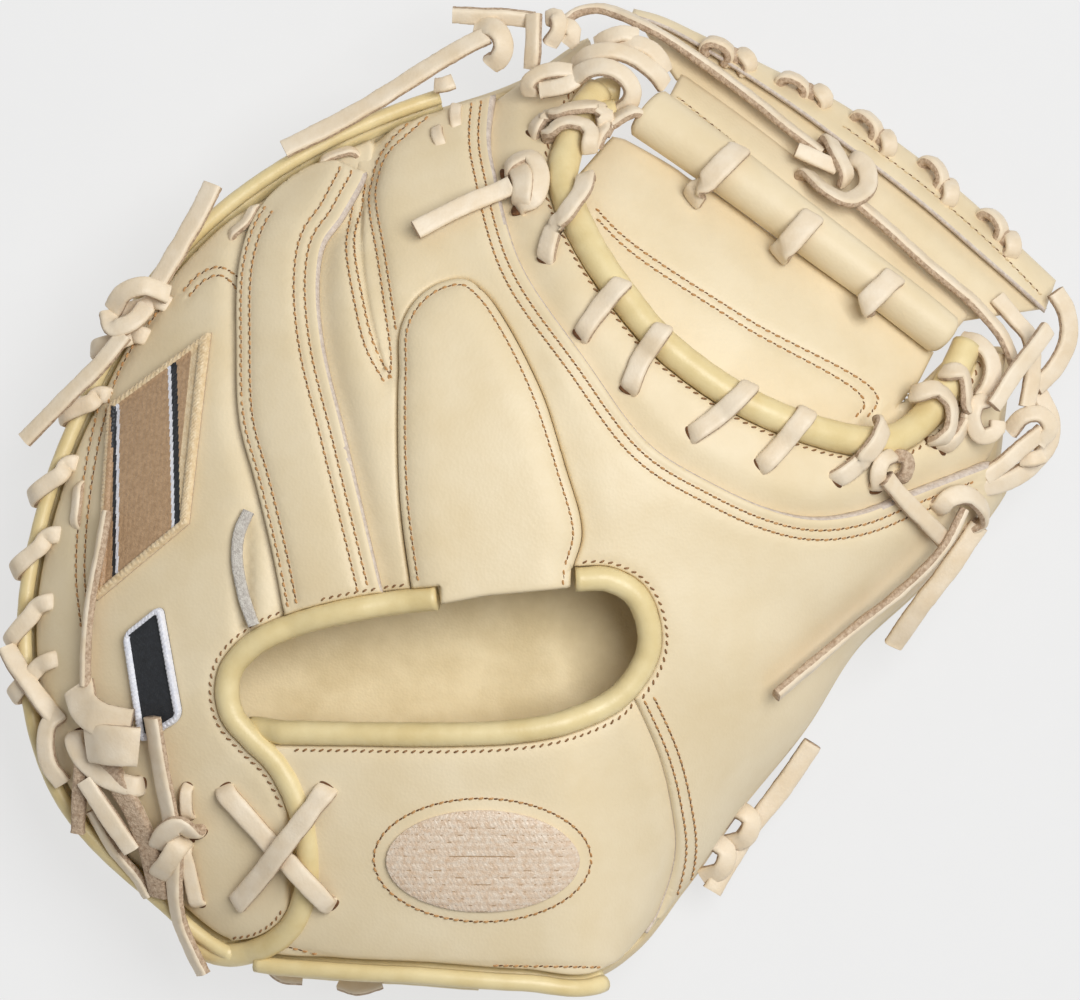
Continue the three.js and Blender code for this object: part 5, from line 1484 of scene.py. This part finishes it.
def side_height(u, v):
    rim, run = edging_of(u, v, SIDE_SIZE)
    weave = 0.1 * np.abs(np.sin(math.pi * v / THREAD_PITCH)) * np.abs(np.sin(math.pi * u / 1.3))
    return 1.3 + corded(rim, run, EDGING, 0.8) + weave * (rim >= EDGING) - 0.9 * (rim < 0.01)


def side_look(u, v):
    rim, run = edging_of(u, v, SIDE_SIZE)
    look = np.zeros(u.shape, int)
    for start, stop, shift, tone in STRIPES:
        moved = u - shift * (1 - v / SIDE_SIZE[1])
        look[(moved > start) & (moved < stop)] = tone
    look[(rim < EDGING) & ((rim == v) | (rim == SIDE_SIZE[1] - v) | (u > 20))] = 1
    look[u < 1.2] = 1
    return look


patch("side_patch_weave", [[-119.2, -27.2], [-94, -6.4], [-116.2, 25.2], [-88.4, 45.1]],
      SIDE_SIZE, side_height, side_look, [rose_satin, gold_satin, black_satin, white_satin], "side_patch")

TAB_SIZE = (12.6, 30.1)
TAB_EDGING = 1.8


def tab_height(u, v):
    rim, run = edging_of(u, v, TAB_SIZE)
    fuzz = 0.08 * np.abs(np.sin(math.pi * (u + 0.6 * v) / 0.9))
    return 1.2 + corded(rim, run, TAB_EDGING, 0.7) + fuzz - 0.8 * (rim < 0.01)


def tab_look(u, v):
    return np.where(edging_of(u, v, TAB_SIZE)[0] < TAB_EDGING, 1, 0)


patch("tab_patch_weave", [[-107.4, -65.9], [-95.7, -58.6], [-111.8, -36.1], [-101.2, -27.7]],
      TAB_SIZE, tab_height, tab_look, [black_satin, white_satin], "tab_patch", round_corner=2.6)

# The oval patch: rows of slanting satin stitches, higher in the middle
OVAL_STEP = 0.3
ROW_PITCH = 1.9
u, v = np.meshgrid(*(np.linspace(-1, 1, int(2 * half / OVAL_STEP)) for half in OVAL_SIZE))
across, upward = u * np.sqrt(1 - v**2 / 2), v * np.sqrt(1 - u**2 / 2)
oval_x, oval_y = OVAL[0] + OVAL_SIZE[0] * across, OVAL[1] + OVAL_SIZE[1] * upward
slant = np.where(np.floor(oval_y / ROW_PITCH) % 2 == 0, 1, -1)
satin = np.abs(np.sin(math.pi * (oval_x + slant * 0.5 * (oval_y % ROW_PITCH)) / 1.2))
groove = np.abs(np.sin(math.pi * oval_y / ROW_PITCH)) ** 0.5
oval_lift = 1.2 + 0.8 * (1 - np.hypot(across, upward) ** 6) + 0.12 * satin + 0.14 * groove
grid_piece(
    "strap_patch_satin", on_back(oval_x.ravel(), oval_y.ravel(), oval_lift.ravel()),
    on_back(oval_x.ravel(), oval_y.ravel(), 0.1), u.shape, (groove < 0.2).astype(int),
    [cream_satin, rose_satin], "strap_patch",
)

# Felt lining that shows in the finger slit, and the slots of the finger laces
felt = Bundle()
lace(felt, [-78.2, -80.6, -81.2, -80.6, -79, -76.6], [-3, -8.9, -14.7, -20, -27, -33.6],
     [0.2, 0.6, 0.7, 0.7, 0.6, 0.4], 3.2, 0.2, thick=1.8)
felt.piece("slit_felt", [felt_look, felt_look], slot="palm_leather")
finger_lace = Bundle()
FINGER_SLITS = [
    [[-22.7, -23.1, -22.7], [107.7, 104.7, 100.9]], [[-26.6, -27.8, -28], [96, 98.6, 101.6]],
    [[-60.4, -55, -50.2], [92.2, 94.6, 96.2]], [[-84.6, -80, -77.4], [71.6, 75.6, 80.6]],
    [[-126, -125.2, -124.8], [-7.6, 0, 5.2]],
]
for x, y in FINGER_SLITS:
    lace(finger_lace, x, y, [0.2, 0.5, 0.2], 3.2, 0.2, BOTH, thick=2.2)
finger_lace.piece("finger_laces", LACE_LOOKS, slot="lace_leather")

# Lights, floor and air
world = bpy.data.worlds.new("studio")
world.use_nodes = True
world.node_tree.nodes["Background"].inputs["Color"].default_value = (1, 1, 1, 1)
world.node_tree.nodes["Background"].inputs["Strength"].default_value = 0.3
bpy.context.scene.world = world


def lamp(name, place, size, power):
    data = bpy.data.lights.new(name, "AREA")
    data.size = size
    data.energy = power
    made = bpy.data.objects.new(name, data)
    made.location = place
    made.rotation_mode = "QUATERNION"
    made.rotation_quaternion = made.location.to_track_quat("Z", "Y")
    bpy.context.scene.collection.objects.link(made)
    return made


KEY_PLACE = (0.6, 0.3, 1.7)
lamp("key", KEY_PLACE, 1.0, 28)
# A paper sweep lit from below, so that hardly a shadow shows on it
floor_look = finish("paper_floor", "#6A6A6A", "#686868", 60, 1.5, 0.0, 0.9)
glow = floor_look.node_tree.nodes["Principled BSDF"]
glow.inputs["Emission Color"].default_value = to_linear("#EBEBEB")
glow.inputs["Emission Strength"].default_value = 0.83
floor = piece(
    "floor", np.array([[-4000, -4000, 0], [4000, -4000, 0], [4000, 4000, 0], [-4000, 4000, 0.0]]),
    [[[0, 1, 2, 3]]], [floor_look], part=False,
)
